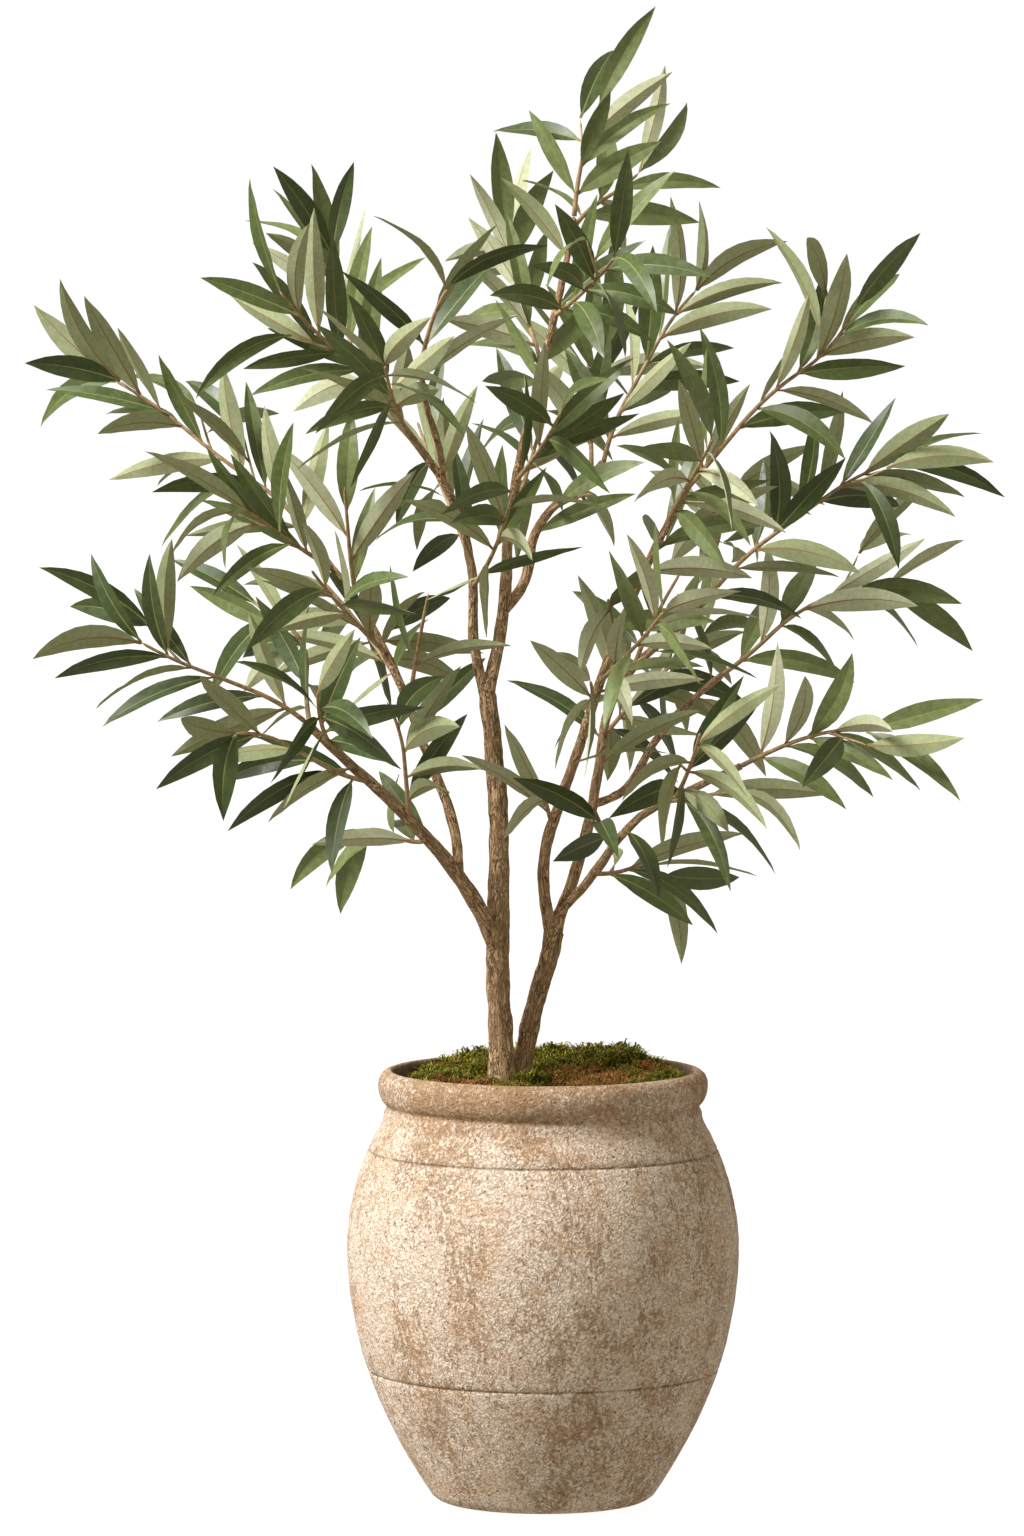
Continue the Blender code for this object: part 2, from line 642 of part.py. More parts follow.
class MassMaker:
    """Grows one mass: its side twigs and leaves, by the seeded rule, in its own room."""

    def __init__(self, mass, stem, space, number):
        self.mass = mass
        self.stem = stem
        self.space = space
        self.draw = random.Random(SEED + 31 * number)
        self.leaves = []
        self.trees = []
        self.twigs = []

    def grow(self):
        """Grow the twigs, then the leaves of the stem and of each twig."""
        for number in range(self.mass.twigs):
            low, width = TWIG_SHARES
            share = low + width * (number + 0.5) / self.mass.twigs
            self.add_twig(share, number * GOLDEN_TURN + self.draw.uniform(0, math.tau))
        least, most = BARE_SHARES
        self.clothe(self.stem, max(least, min(most, BARE_FOOT / self.stem.length)))
        for twig in self.twigs:
            self.clothe(twig, most)

    def add_twig(self, share, turn):
        """Add a side twig, if one of a few turns about the stem finds room."""
        forward, sideways, upward = TWIG_WAY
        for attempt in range(TWIG_TRIES):
            spot, along = self.stem.place(share)
            out = outward(along, turn + attempt)
            way = (along * forward + out * sideways + Vector((0, 0, upward))).normalized()
            length = TWIG_LENGTH * self.draw.uniform(*TWIG_RANGE)
            twig = straight_growth(spot, way, length)
            inner = twig.samples()[0]
            if self.space.holds(self.mass.name, inner[len(inner) // 3:]):
                self.twigs.append(twig)
                return

    def clothe(self, line, foot):
        """Set leaves along a stem in turns, then a fan of them at its tip."""
        slots = int(line.length * (1 - foot) / LEAF_PITCH)
        start = self.draw.uniform(0, math.tau)
        for slot in range(slots):
            share = foot + (1 - foot) * (slot + 0.4) / (slots + 0.6)
            self.add_leaf(line, share, start + slot * GOLDEN_TURN, STEM_SPREAD - SPREAD_LOSS * share)
        for slot, spread in enumerate(TIP_SPREADS):
            share = TIP_SHARE - TIP_STEP * slot / line.length
            self.add_leaf(line, share, start + slot * math.tau / len(TIP_SPREADS), spread)

    def add_leaf(self, line, share, turn, spread):
        """Add one leaf, if one of a few poses keeps to the room."""
        for attempt in range(LEAF_TRIES):
            spot, along = line.place(share)
            out = outward(along, turn + TRY_TURN * attempt * (-1) ** attempt)
            open_angle = math.radians(spread + self.draw.uniform(*SPREAD_RANGE))
            way = along * math.cos(open_angle) + out * math.sin(open_angle)
            way = (way - Vector((0, 0, DROOP))).normalized()
            face = self.facing(way)
            length = LEAF_LENGTH * self.draw.uniform(*LEAF_RANGE) * (1 - TRY_LOSS * attempt / LEAF_TRIES)
            leaf = Leaf(spot + out * line.radius(share) * ROOT_SHIFT, way, face, length)
            if self.space.holds(self.mass.name, leaf.samples()) and self.is_free(leaf):
                self.keep(leaf)
                return

    def facing(self, way):
        """Return a leaf's upper side, turned mostly to the front with a free roll."""
        aim = Vector([self.draw.gauss(*pair) for pair in zip(FACE_AIM, FACE_SCATTER)])
        flat = aim - way * aim.dot(way)
        return flat.normalized() if flat.length > 0.05 else way.orthogonal().normalized()

    def is_free(self, leaf):
        """Tell whether the leaf, away from its root, clears the leaves already there."""
        corners = leaf.corners(LEAF_CLEARANCE / 2)
        outer = tree_of((leaf.root + leaf.along * ROOT_CROWD, *corners[1:]), leaf.faces())
        return not any(outer.overlap(tree) for tree in self.trees)

    def keep(self, leaf):
        """Keep a leaf and its search tree."""
        self.leaves.append(leaf)
        self.trees.append(tree_of(leaf.corners(), leaf.faces()))

    def build(self, parent):
        """Fuse stem, twigs and leaves into one solid, clear of the parent limb."""
        thing = self.stem.solid(self.mass.name, finish="leaf")
        apply_boolean(thing, "DIFFERENCE", cutter=parent.solid("cutter", grow=SEAT_GAP))
        keep_body(thing)
        group = bpy.data.collections.new("group")
        parts = [twig.solid("twig", finish="leaf") for twig in self.twigs]
        parts += [leaf_object(leaf) for leaf in self.leaves]
        for part in parts:
            bpy.context.scene.collection.objects.unlink(part)
            group.objects.link(part)
        bpy.context.scene.collection.children.link(group)
        apply_boolean(thing, "UNION", solver="MANIFOLD", group=group)
        keep_body(thing)


def outward(along, turn):
    """Return the direction square to a stem at a turn about it."""
    side = Vector((0, 1, 0)).cross(along)
    side = side.normalized() if side.length > 0.1 else Vector((1, 0, 0))
    return side * math.cos(turn) + along.cross(side) * math.sin(turn)


def straight_growth(foot, way, length):
    """Return a side twig's line, rising a little more upright towards its tip."""
    flat = math.hypot(way.x, way.z)
    lean = math.degrees(math.atan2(way.x, way.z))
    tip = lean * TWIG_RISE if abs(lean) < 90 else lean
    leans = (lean, (lean + tip) / 2, tip)
    return Growth("twig", foot, length * flat, leans, length * way.y, TWIG_RADII, TWIG_SIDES)


def leaf_object(leaf):
    """Build one leaf as a thin closed blade of eight faces."""
    bm = bmesh.new()
    corners = [bm.verts.new(corner) for corner in leaf.corners()]
    for face in leaf.faces():
        bm.faces.new([corners[number] for number in face])
    return add_object("leaf", bm, "leaf")


def main():
    """Build the jar, soil, moss, stems, boughs and masses of leaves."""
    clear_scene()
    make_jar()
    make_soil()
    lines = grow_limbs()
    make_moss([lines["trunk"], lines["second_stem"]])
    make_limbs(lines)
    stems = grow_mass_stems(lines)
    space = Space(stems, lines)
    for number, mass in enumerate(MASSES):
        maker = MassMaker(mass, stems[mass.name], space, number)
        maker.grow()
        maker.build(lines[mass.parent])
        print(f"{mass.name}: {len(maker.twigs)} twigs, {len(maker.leaves)} leaves")


main()
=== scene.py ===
"""Potted olive tree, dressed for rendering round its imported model.

The jar, the bark, the moss, the shoots and the leaves are made here and stand
in for the plain nodes. The crown grows by the rule of the part's source, which
is written again below and carried to finer twigs and more leaves. Metres, +Z
up, and the front view looks along +Y with +X to the right.
"""

import json
import logging
import math
import random
from collections.abc import Callable, Iterable, Iterator
from contextlib import contextmanager
from dataclasses import dataclass, field
from enum import Enum

import bpy
import numpy as np
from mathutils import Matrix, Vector, noise
from mathutils.bvhtree import BVHTree

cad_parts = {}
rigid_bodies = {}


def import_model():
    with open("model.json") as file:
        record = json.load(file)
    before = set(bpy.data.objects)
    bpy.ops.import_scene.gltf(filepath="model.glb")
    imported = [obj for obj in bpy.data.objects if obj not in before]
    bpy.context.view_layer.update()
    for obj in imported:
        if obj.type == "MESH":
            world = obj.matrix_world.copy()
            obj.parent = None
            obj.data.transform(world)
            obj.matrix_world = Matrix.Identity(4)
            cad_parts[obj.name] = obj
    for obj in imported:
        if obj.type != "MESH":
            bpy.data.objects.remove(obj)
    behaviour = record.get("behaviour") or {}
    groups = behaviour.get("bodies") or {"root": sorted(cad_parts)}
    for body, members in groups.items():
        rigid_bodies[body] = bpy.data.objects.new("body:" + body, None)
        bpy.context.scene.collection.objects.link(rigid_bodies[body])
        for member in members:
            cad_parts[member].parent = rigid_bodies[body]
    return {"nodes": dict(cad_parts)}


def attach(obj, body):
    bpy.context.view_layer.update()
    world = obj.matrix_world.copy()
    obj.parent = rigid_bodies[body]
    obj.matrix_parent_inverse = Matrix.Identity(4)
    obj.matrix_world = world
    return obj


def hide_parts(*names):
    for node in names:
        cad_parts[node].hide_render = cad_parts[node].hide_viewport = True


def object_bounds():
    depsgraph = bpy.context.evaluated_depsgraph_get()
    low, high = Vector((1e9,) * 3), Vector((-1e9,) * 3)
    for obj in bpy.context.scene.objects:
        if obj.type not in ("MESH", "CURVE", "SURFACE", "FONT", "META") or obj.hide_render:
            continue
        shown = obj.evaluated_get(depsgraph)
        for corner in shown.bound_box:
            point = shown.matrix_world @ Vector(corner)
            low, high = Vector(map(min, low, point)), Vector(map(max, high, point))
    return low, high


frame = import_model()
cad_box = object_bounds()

log = logging.getLogger("olive")

Colour = tuple[float, float, float]
Scale = tuple[float, float, float]
Range = tuple[float, float]
Rule = Callable[[Vector], bool]

BODY = "root"
GOLDEN_TURN = math.radians(137.5)
SEED = 7

# Heights of the soil and of the jar's two incised lines, in metres.
SOIL_LEVEL = 0.3683
GROOVES = (0.1185, 0.317)

# The slack when places are picked out on a mesh, and when doubles are merged.
HAIR = 1e-4
MERGE = 1e-5

# How long a cross product is at least where it gives a side.
LEAST_SIDE = 0.1


# Modelling by hand


def deselect() -> None:
    """Deselect every object."""
    bpy.ops.object.select_all(action="DESELECT")


def take(piece: bpy.types.Object) -> None:
    """Make a piece the only selected and the active object.

    Args:
        piece: The object.
    """
    deselect()
    piece.select_set(True)
    bpy.context.view_layer.objects.active = piece


@contextmanager
def editing(piece: bpy.types.Object, rule: Rule | None = None) -> Iterator[None]:
    """Open a piece in edit mode with chosen vertices selected.

    Args:
        piece: The mesh object to edit.
        rule: Tells from a vertex's place whether it is selected; None selects all.
    """
    take(piece)
    mesh = piece.data
    flags = [rule is None or rule(vertex.co) for vertex in mesh.vertices]
    mesh.polygons.foreach_set("select", [False] * len(mesh.polygons))
    mesh.edges.foreach_set("select", [False] * len(mesh.edges))
    mesh.vertices.foreach_set("select", flags)
    bpy.ops.object.mode_set(mode="EDIT")
    bpy.ops.mesh.select_mode(type="VERT")
    try:
        yield
    finally:
        bpy.ops.object.mode_set(mode="OBJECT")


def place_mesh(piece: bpy.types.Object) -> None:
    """Move an object's place, turn and scale into its mesh."""
    take(piece)
    bpy.ops.object.transform_apply(location=True, rotation=True, scale=True)


def apply_modifier(piece: bpy.types.Object, kind: str, **settings: object) -> None:
    """Add one modifier to a piece and apply it.

    Args:
        piece: The mesh object.
        kind: The modifier's type, as Blender names it.
        **settings: The modifier's properties.
    """
    take(piece)
    modifier = piece.modifiers.new(kind.lower(), kind)
    for name, value in settings.items():
        setattr(modifier, name, value)
    bpy.ops.object.modifier_apply(modifier=modifier.name)


def smooth(piece: bpy.types.Object) -> None:
    """Shade a piece smoothly all over."""
    take(piece)
    bpy.ops.object.shade_smooth()


def coordinates(mesh: bpy.types.Mesh) -> np.ndarray:
    """Read a mesh's vertex places.

    Args:
        mesh: The mesh.

    Returns:
        The places as rows of x, y and z.
    """
    places = np.zeros(len(mesh.vertices) * 3)
    mesh.vertices.foreach_get("co", places)
    return places.reshape(-1, 3)


def move_vertices(mesh: bpy.types.Mesh, places: np.ndarray) -> None:
    """Give a mesh's vertices new places."""
    mesh.vertices.foreach_set("co", places.reshape(-1))
    mesh.update()


def dress(
    piece: bpy.types.Object,
    finish: bpy.types.Material,
    nodes: Iterable[str] = (),
) -> None:
    """Give a finished piece its material and its place in the frame.

    Args:
        piece: The finished object.
        finish: Its material.
        nodes: The nodes that it stands for.
    """
    piece.data.materials.clear()
    piece.data.materials.append(finish)
    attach(piece, BODY)
    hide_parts(*nodes)
    log.info("%s: %d faces", piece.name, len(piece.data.polygons))


def piece_of(name: str, places: np.ndarray, faces: list[list[int]]) -> bpy.types.Object:
    """Make one smooth mesh object from arrays.

    Args:
        name: The piece's name.
        places: Vertex places, one row each.
        faces: Vertex numbers of each face.

    Returns:
        The linked object.
    """
    mesh = bpy.data.meshes.new(name)
    mesh.from_pydata(places.tolist(), [], faces)
    mesh.validate()
    piece = bpy.data.objects.new(name, mesh)
    bpy.context.scene.collection.objects.link(piece)
    smooth(piece)
    return piece


# Shader maths and nodes


@dataclass(frozen=True)
class Grain:
    """The character of a soft noise.

    scale is its waves in a metre, detail its number of octaves, rough how much
    the fine ones count, warp how far it is distorted, and upright how many
    times faster it changes with height.
    """

    scale: float
    detail: float = 3.0
    rough: float = 0.55
    warp: float = 0.0
    upright: float = 1.0


class Wire:
    """A shader socket that carries a value, with Python's operators."""

    def __init__(self, shader: "Shader", socket: bpy.types.NodeSocket) -> None:
        """Keep the shader and the socket."""
        self.shader = shader
        self.socket = socket

    def maths(self, operation: str, first: "Wire | float", second: "Wire | float") -> "Wire":
        """Add one Math node and return its result."""
        return self.shader.node("ShaderNodeMath", {"operation": operation}, {0: first, 1: second})

    def __add__(self, other: "Wire | float") -> "Wire":
        """Add."""
        return self.maths("ADD", self, other)

    __radd__ = __add__

    def __sub__(self, other: "Wire | float") -> "Wire":
        """Subtract."""
        return self.maths("SUBTRACT", self, other)

    def __rsub__(self, other: "Wire | float") -> "Wire":
        """Subtract from a number."""
        return self.maths("SUBTRACT", other, self)

    def __mul__(self, other: "Wire | float") -> "Wire":
        """Multiply."""
        return self.maths("MULTIPLY", self, other)

    __rmul__ = __mul__

    def __abs__(self) -> "Wire":
        """Return the size without its sign."""
        return self.maths("ABSOLUTE", self, 0.0)

    def clear(self, low: float, high: float) -> "Wire":
        """Return a soft step over a range of the value.

        Args:
            low: The value where the step is 0.
            high: The value where it is 1, which may also be the lower one.

        Returns:
            The step, from 0 to 1.
        """
        levels = {"Value": self, "From Min": low, "From Max": high, "To Min": 0.0, "To Max": 1.0}
        return self.shader.node("ShaderNodeMapRange", {"interpolation_type": "SMOOTHSTEP"}, levels)


class Shader:
    """A material's nodes round its Principled shader."""

    # The Mix node's colour sockets, by number, since several sockets share each name.
    MIX_FIRST = 6
    MIX_SECOND = 7
    MIX_RESULT = 2

    def __init__(self, name: str) -> None:
        """Start a material with its Principled shader.

        Args:
            name: The material's name.
        """
        self.material = bpy.data.materials.new(name)
        self.material.use_nodes = True
        self.tree = self.material.node_tree
        self.base = self.tree.nodes["Principled BSDF"]

    def node(
        self, kind: str, settings: dict | None = None, inputs: dict | None = None, output: str | int = 0
    ) -> Wire:
        """Add a node.

        Args:
            kind: The node's type.
            settings: Its properties, set first.
            inputs: Values or wires, by socket name or number.
            output: The output socket's name or number.

        Returns:
            The wire from its output.
        """
        node = self.tree.nodes.new(kind)
        for name, value in (settings or {}).items():
            setattr(node, name, value)
        for name, value in (inputs or {}).items():
            self.connect(node.inputs[name], value)
        return Wire(self, node.outputs[output])

    def connect(self, socket: bpy.types.NodeSocket, value: object) -> None:
        """Link a wire to a socket, or set the socket's own value.

        Args:
            socket: The input socket.
            value: A wire, a number, a vector or a colour.
        """
        if isinstance(value, Wire):
            self.tree.links.new(value.socket, socket)
        elif isinstance(value, tuple) and len(value) == 3 and len(socket.default_value) == 4:
            socket.default_value = (*value, 1.0)
        else:
            socket.default_value = value

    def place(self) -> Wire:
        """Return the place on the piece, in metres."""
        return self.node("ShaderNodeTexCoord", output="Object")

    def stretched(self, where: Wire, scale: Scale) -> Wire:
        """Return a place scaled along each axis."""
        return self.node("ShaderNodeMapping", {}, {"Vector": where, "Scale": scale})

    def grain(self, where: Wire, kind: Grain) -> Wire:
        """Return soft noise from 0 to 1.

        Args:
            where: The place that it is read at.
            kind: The noise's character.

        Returns:
            The noise's value.
        """
        if kind.upright != 1.0:
            where = self.stretched(where, (1.0, 1.0, kind.upright))
        inputs = {
            "Vector": where,
            "Scale": kind.scale,
            "Detail": kind.detail,
            "Roughness": kind.rough,
            "Distortion": kind.warp,
        }
        return self.node("ShaderNodeTexNoise", {"noise_dimensions": "3D"}, inputs, "Fac")

    def cells(self, where: Wire, scale: float) -> Wire:
        """Return the distance to the nearest of scattered points."""
        return self.node("ShaderNodeTexVoronoi", {}, {"Vector": where, "Scale": scale}, "Distance")

    def mix(self, share: "Wire | float", first: "Wire | Colour", second: "Wire | Colour") -> Wire:
        """Return a mix of two colours."""
        inputs = {"Factor": share, self.MIX_FIRST: first, self.MIX_SECOND: second}
        return self.node("ShaderNodeMix", {"data_type": "RGBA"}, inputs, self.MIX_RESULT)

    def height(self, value: Wire) -> Wire:
        """Return the height of a place above the floor, in metres."""
        return self.node("ShaderNodeSeparateXYZ", {}, {"Vector": value}, "Z")

    def radius(self, value: Wire) -> Wire:
        """Return the distance of a place from the upright axis, in metres."""
        flat = self.stretched(value, (1.0, 1.0, 0.0))
        return self.node("ShaderNodeVectorMath", {"operation": "LENGTH"}, {0: flat}, "Value")

    def finish(self, inputs: dict, relief: Wire | None = None, depth: float = 0.0) -> bpy.types.Material:
        """Connect the Principled shader.

        Args:
            inputs: Values or wires of its sockets.
            relief: The height that its bump reads.
            depth: The relief's depth in metres.

        Returns:
            The material.
        """
        for name, value in inputs.items():
            self.connect(self.base.inputs[name], value)
        if relief is not None:
            bump = self.node("ShaderNodeBump", {}, {"Height": relief, "Strength": 1.0, "Distance": depth})
            self.connect(self.base.inputs["Normal"], bump)
        return self.material


# Finishes


@dataclass(frozen=True)
class ClayFinish:
    """Unglazed cream clay, pebbled all over, with rough brown worn strokes and patches,
    and painted shade on the throat's inner face under the rim.

    A range gives where something starts to show and where it shows in full, as
    heights or distances in metres or as levels of a noise. A share is how much
    of its colour then covers the clay, and a rise or fall is its part in the
    relief.
    """

    cream: Colour = (0.820, 0.710, 0.595)
    sand: Colour = (0.74, 0.572, 0.430)
    brown: Colour = (0.44, 0.258, 0.126)
    pit: Colour = (0.20, 0.115, 0.06)
    # The painted shade on the throat's inner face under the rim.
    throat_shade: Colour = (0.13, 0.095, 0.048)
    sanding: Grain = Grain(30.0, 5.0, 0.65)
    sand_range: Range = (0.32, 0.56)
    pebbles: float = 400.0
    crevice_range: Range = (0.34, 0.66)
    crevice_share: float = 0.42
    pebble_rise: float = 0.55
    stroke: Grain = Grain(270.0, 3.0, 0.62, 0.9, 0.62)
    area: Grain = Grain(17.0, 5.0, 0.68, 0.0, 0.6)
    area_weight: float = 0.98
    rim_weight: float = 0.105
    more_wear: float = 0.002
    worn_range: Range = (0.555, 0.605)
    worn_share: float = 0.72
    worn_fall: float = 0.6
    deep_range: Range = (0.66, 0.73)
    deep_share: float = 0.60
    winding: Grain = Grain(165.0, 3.0, 0.6, 0.7, 1.35)
    scratch_range: Range = (0.008, 0.036)
    scratch_area: Grain = Grain(36.0)
    scratched_range: Range = (0.36, 0.52)
    scratch_share: float = 0.62
    scratch_fall: float = 0.4
    holes: float = 165.0
    hole_range: Range = (0.10, 0.22)
    hole_area: Grain = Grain(70.0)
    holed_range: Range = (0.46, 0.58)
    hole_share: float = 0.75
    grooves: tuple[float, float] = GROOVES
    groove_range: Range = (0.0003, 0.0016)
    groove_dust: Grain = Grain(60.0)
    dusty_range: Range = (0.34, 0.52)
    groove_share: float = 0.62
    rim_range: Range = (0.350, 0.359)
    # From shoulder_range up, the clay turns browner by shoulder_share over neck and rim: partly painted shade
    # under the rim's overhang, partly darker speckled clay.
    shoulder_range: Range = (0.300, 0.368)
    shoulder_share: float = 0.26
    throat_range: Range = (0.1345, 0.1385)
    throat_shade_share: float = 0.85
    grit: Grain = Grain(700.0)
    grit_rise: float = 0.5
    relief_depth: float = 0.0012
    roughness: float = 0.88
    specular: float = 0.3

    def make(self) -> bpy.types.Material:
        """Mix the clay's colours and its relief.

        Returns:
            The material.
        """
        clay = Shader("clay")
        place = clay.place()
        height = clay.height(place)
        rim = height.clear(*self.rim_range)
        # inside is where the throat's painted shade falls, within the rim.
        inside = (1 - clay.radius(place).clear(*self.throat_range)) * rim
        pebble = clay.cells(place, self.pebbles)
        dirt = clay.grain(place, self.stroke) + self.area_weight * (clay.grain(place, self.area) - 0.5)
        dirt = dirt + self.rim_weight * rim + self.more_wear
        worn = dirt.clear(*self.worn_range)
        scratch = 1 - abs(clay.grain(place, self.winding) - 0.5).clear(*self.scratch_range)
        scratched = clay.grain(place, self.scratch_area).clear(*self.scratched_range)
        holed = clay.grain(place, self.hole_area).clear(*self.holed_range)
        holes = (1 - clay.cells(place, self.holes).clear(*self.hole_range)) * holed
        groove = self.bands(height) * clay.grain(place, self.groove_dust).clear(*self.dusty_range)
        body = clay.mix(clay.grain(place, self.sanding).clear(*self.sand_range), self.sand, self.cream)
        for share, colour in (
            (pebble.clear(*self.crevice_range) * self.crevice_share, self.brown),
            (worn * self.worn_share, self.brown),
            (scratch * scratched * self.scratch_share, self.brown),
            (dirt.clear(*self.deep_range) * self.deep_share, self.pit),
            (holes * self.hole_share, self.pit),
            (groove * self.groove_share, self.pit),
            # Browner from the shoulder up: partly painted shade under the rim, partly darker speckled clay.
            (height.clear(*self.shoulder_range) * self.shoulder_share, self.brown),
            # Painted shade on the throat's inner face.
            (inside * self.throat_shade_share, self.throat_shade),
        ):
            body = clay.mix(share, body, colour)
        relief = self.pebble_rise * (1 - pebble) - self.worn_fall * worn - self.scratch_fall * scratch
        relief = relief - holes + self.grit_rise * clay.grain(place, self.grit)
        surface = {"Base Color": body, "Roughness": self.roughness, "Specular IOR Level": self.specular}
        return clay.finish(surface, relief, self.relief_depth)

    def bands(self, height: Wire) -> Wire:
        """Return 1 in the two incised grooves and 0 elsewhere."""
        lower, upper = (1 - abs(height - groove).clear(*self.groove_range) for groove in self.grooves)
        return lower + upper


@dataclass(frozen=True)
class BarkFinish:
    """Brown bark with short fissures and pale flakes that run along the limb.

    The fibres and plates have their waves in a metre round the limb and along
    it in their own scales. Ranges and shares are as in the clay.
    """

    light: Colour = (0.78, 0.525, 0.297)
    dark: Colour = (0.42, 0.256, 0.130)
    crack: Colour = (0.080, 0.040, 0.016)
    flake: Colour = (0.92, 0.74, 0.51)
    fibre: Grain = Grain(1.0, 4.0, 0.65, 1.4)
    fibre_scale: Scale = (560.0, 110.0, 1.0)
    plate: Grain = Grain(1.0, 3.0, 0.6, 2.2)
    plate_scale: Scale = (250.0, 46.0, 1.0)
    blotch: Grain = Grain(48.0, 4.0)
    blotch_weight: float = 0.3
    light_range: Range = (0.38, 0.60)
    fissure_range: Range = (0.0, 0.070)
    crack_range: Range = (0.38, 0.56)
    crack_share: float = 0.85
    plate_weight: float = 0.4
    flake_range: Range = (0.60, 0.68)
    flake_share: float = 0.5
    fibre_rise: float = 0.5
    fissure_fall: float = 0.6
    relief_depth: float = 0.0026
    roughness: float = 0.85
    specular: float = 0.3

    def make(self) -> bpy.types.Material:
        """Mix the bark's colours and relief on the piece's own map.

        Returns:
            The material.
        """
        bark = Shader("bark")
        along = bark.node("ShaderNodeUVMap", {"uv_map": "along"})
        fibre = bark.grain(bark.stretched(along, self.fibre_scale), self.fibre)
        plates = bark.grain(bark.stretched(along, self.plate_scale), self.plate)
        fissure = 1 - abs(plates - 0.5).clear(*self.fissure_range)
        blotch = bark.grain(bark.place(), self.blotch)
        light = fibre * (1 - self.blotch_weight) + blotch * self.blotch_weight
        flakes = fibre * (1 - self.plate_weight) + plates * self.plate_weight
        colour = bark.mix(light.clear(*self.light_range), self.dark, self.light)
        colour = bark.mix(fissure * blotch.clear(*self.crack_range) * self.crack_share, colour, self.crack)
        colour = bark.mix(flakes.clear(*self.flake_range) * self.flake_share, colour, self.flake)
        relief = fibre * self.fibre_rise - fissure * self.fissure_fall
        surface = {"Base Color": colour, "Roughness": self.roughness, "Specular IOR Level": self.specular}
        return bark.finish(surface, relief, self.relief_depth)


@dataclass(frozen=True)
class PlainFinish:
    """A plain colour with a little unevenness, for leaves, shoots, tufts and soil."""

    name: str
    colour: Colour
    roughness: float
    specular: float = 0.4
    spread: float = 0.22
    scale: float = 90.0
    tone_range: Range = (0.30, 0.70)
    rough_spread: float = 0.12

    def make(self) -> bpy.types.Material:
        """Spread the colour and the roughness a little over the surface.

        Returns:
            The material.
        """
        plain = Shader(self.name)
        share = plain.grain(plain.place(), Grain(self.scale)).clear(*self.tone_range)
        low, high = (tuple(c * (1 + sign * self.spread) for c in self.colour) for sign in (-1, 1))
        colour = plain.mix(share, low, high)
        rough = self.roughness + (share - 0.5) * self.rough_spread
        return plain.finish({"Base Color": colour, "Roughness": rough, "Specular IOR Level": self.specular})


@dataclass(frozen=True)
class MossFinish:
    """A green cushion with brown patches and painted shade in the gaps between its stalks."""

    green: Colour = (0.10, 0.100, 0.020)
    # The painted shade in the gaps between the stalks.
    dark: Colour = (0.022, 0.020, 0.007)
    brown: Colour = (0.17, 0.085, 0.035)
    stalks: Grain = Grain(420.0, 4.0, 0.7)
    gap_shade_range: Range = (0.62, 0.42)
    patches: Grain = Grain(24.0)
    patch_range: Range = (0.50, 0.60)
    relief_depth: float = 0.003
    roughness: float = 1.0
    specular: float = 0.1

    def make(self) -> bpy.types.Material:
        """Mix the cushion's colours and its relief.

        Returns:
            The material.
        """
        moss = Shader("moss_cushion")
        place = moss.place()
        fine = moss.grain(place, self.stalks)
        patch = moss.grain(place, self.patches).clear(*self.patch_range)
        colour = moss.mix(patch, self.green, self.brown)
        # Painted shade in the gaps, where the fine relief dips.
        colour = moss.mix(fine.clear(*self.gap_shade_range), colour, self.dark)
        surface = {"Base Color": colour, "Roughness": self.roughness, "Specular IOR Level": self.specular}
        return moss.finish(surface, fine, self.relief_depth)


class Tone(Enum):
    """The tone of a spray's leaves, with the colours of their upper sides and undersides."""

    DEEP = ((0.056, 0.085, 0.022), (0.325, 0.362, 0.190))
    FULL = ((0.090, 0.127, 0.034), (0.392, 0.425, 0.238))
    PALE = ((0.155, 0.197, 0.064), (0.485, 0.512, 0.325))

    def top(self) -> PlainFinish:
        """Return the finish of the upper sides."""
        name = "leaf_upper_" + self.name.lower()
        return PlainFinish(name, self.value[0], roughness=0.40, specular=0.5, spread=0.16, scale=160.0)

    def below(self) -> PlainFinish:
        """Return the finish of the undersides."""
        name = "leaf_under_" + self.name.lower()
        return PlainFinish(name, self.value[1], roughness=0.80, specular=0.2, spread=0.10, scale=240.0)


# Limbs


@dataclass(frozen=True)
class Limb:
    """A tapering limb. Its run and leans are measured in the upright X-Z plane.

    at is the share of the parent's run where it leaves, run is its length in
    metres, lean is its angle from upright towards +X in degrees at even steps
    from foot to tip, back is how far its tip stands behind its foot in metres,
    and girth is its radius at foot and tip in metres.
    """

    name: str
    parent: str
    at: float
    run: float
    lean: tuple[float, ...]
    back: float
    girth: tuple[float, float]


@dataclass(frozen=True)
class Mass:
    """A mass of leaves on one stem, measured as a limb is, with its side twigs."""

    name: str
    parent: str
    at: float
    run: float
    lean: tuple[float, ...]
    back: float
    twigs: int


TRUNK_FEET = {"trunk": (-0.036, 0.0), "second_stem": (-0.024, 0.014)}

STEMS = (
    Limb("trunk", "", 0.0, 0.363, (-3, -2, 2, -4, -7), 0.0, (0.0112, 0.0076)),
    Limb("second_stem", "", 0.0, 0.150, (13, 10, 20, 6), 0.018, (0.0080, 0.0086)),
)

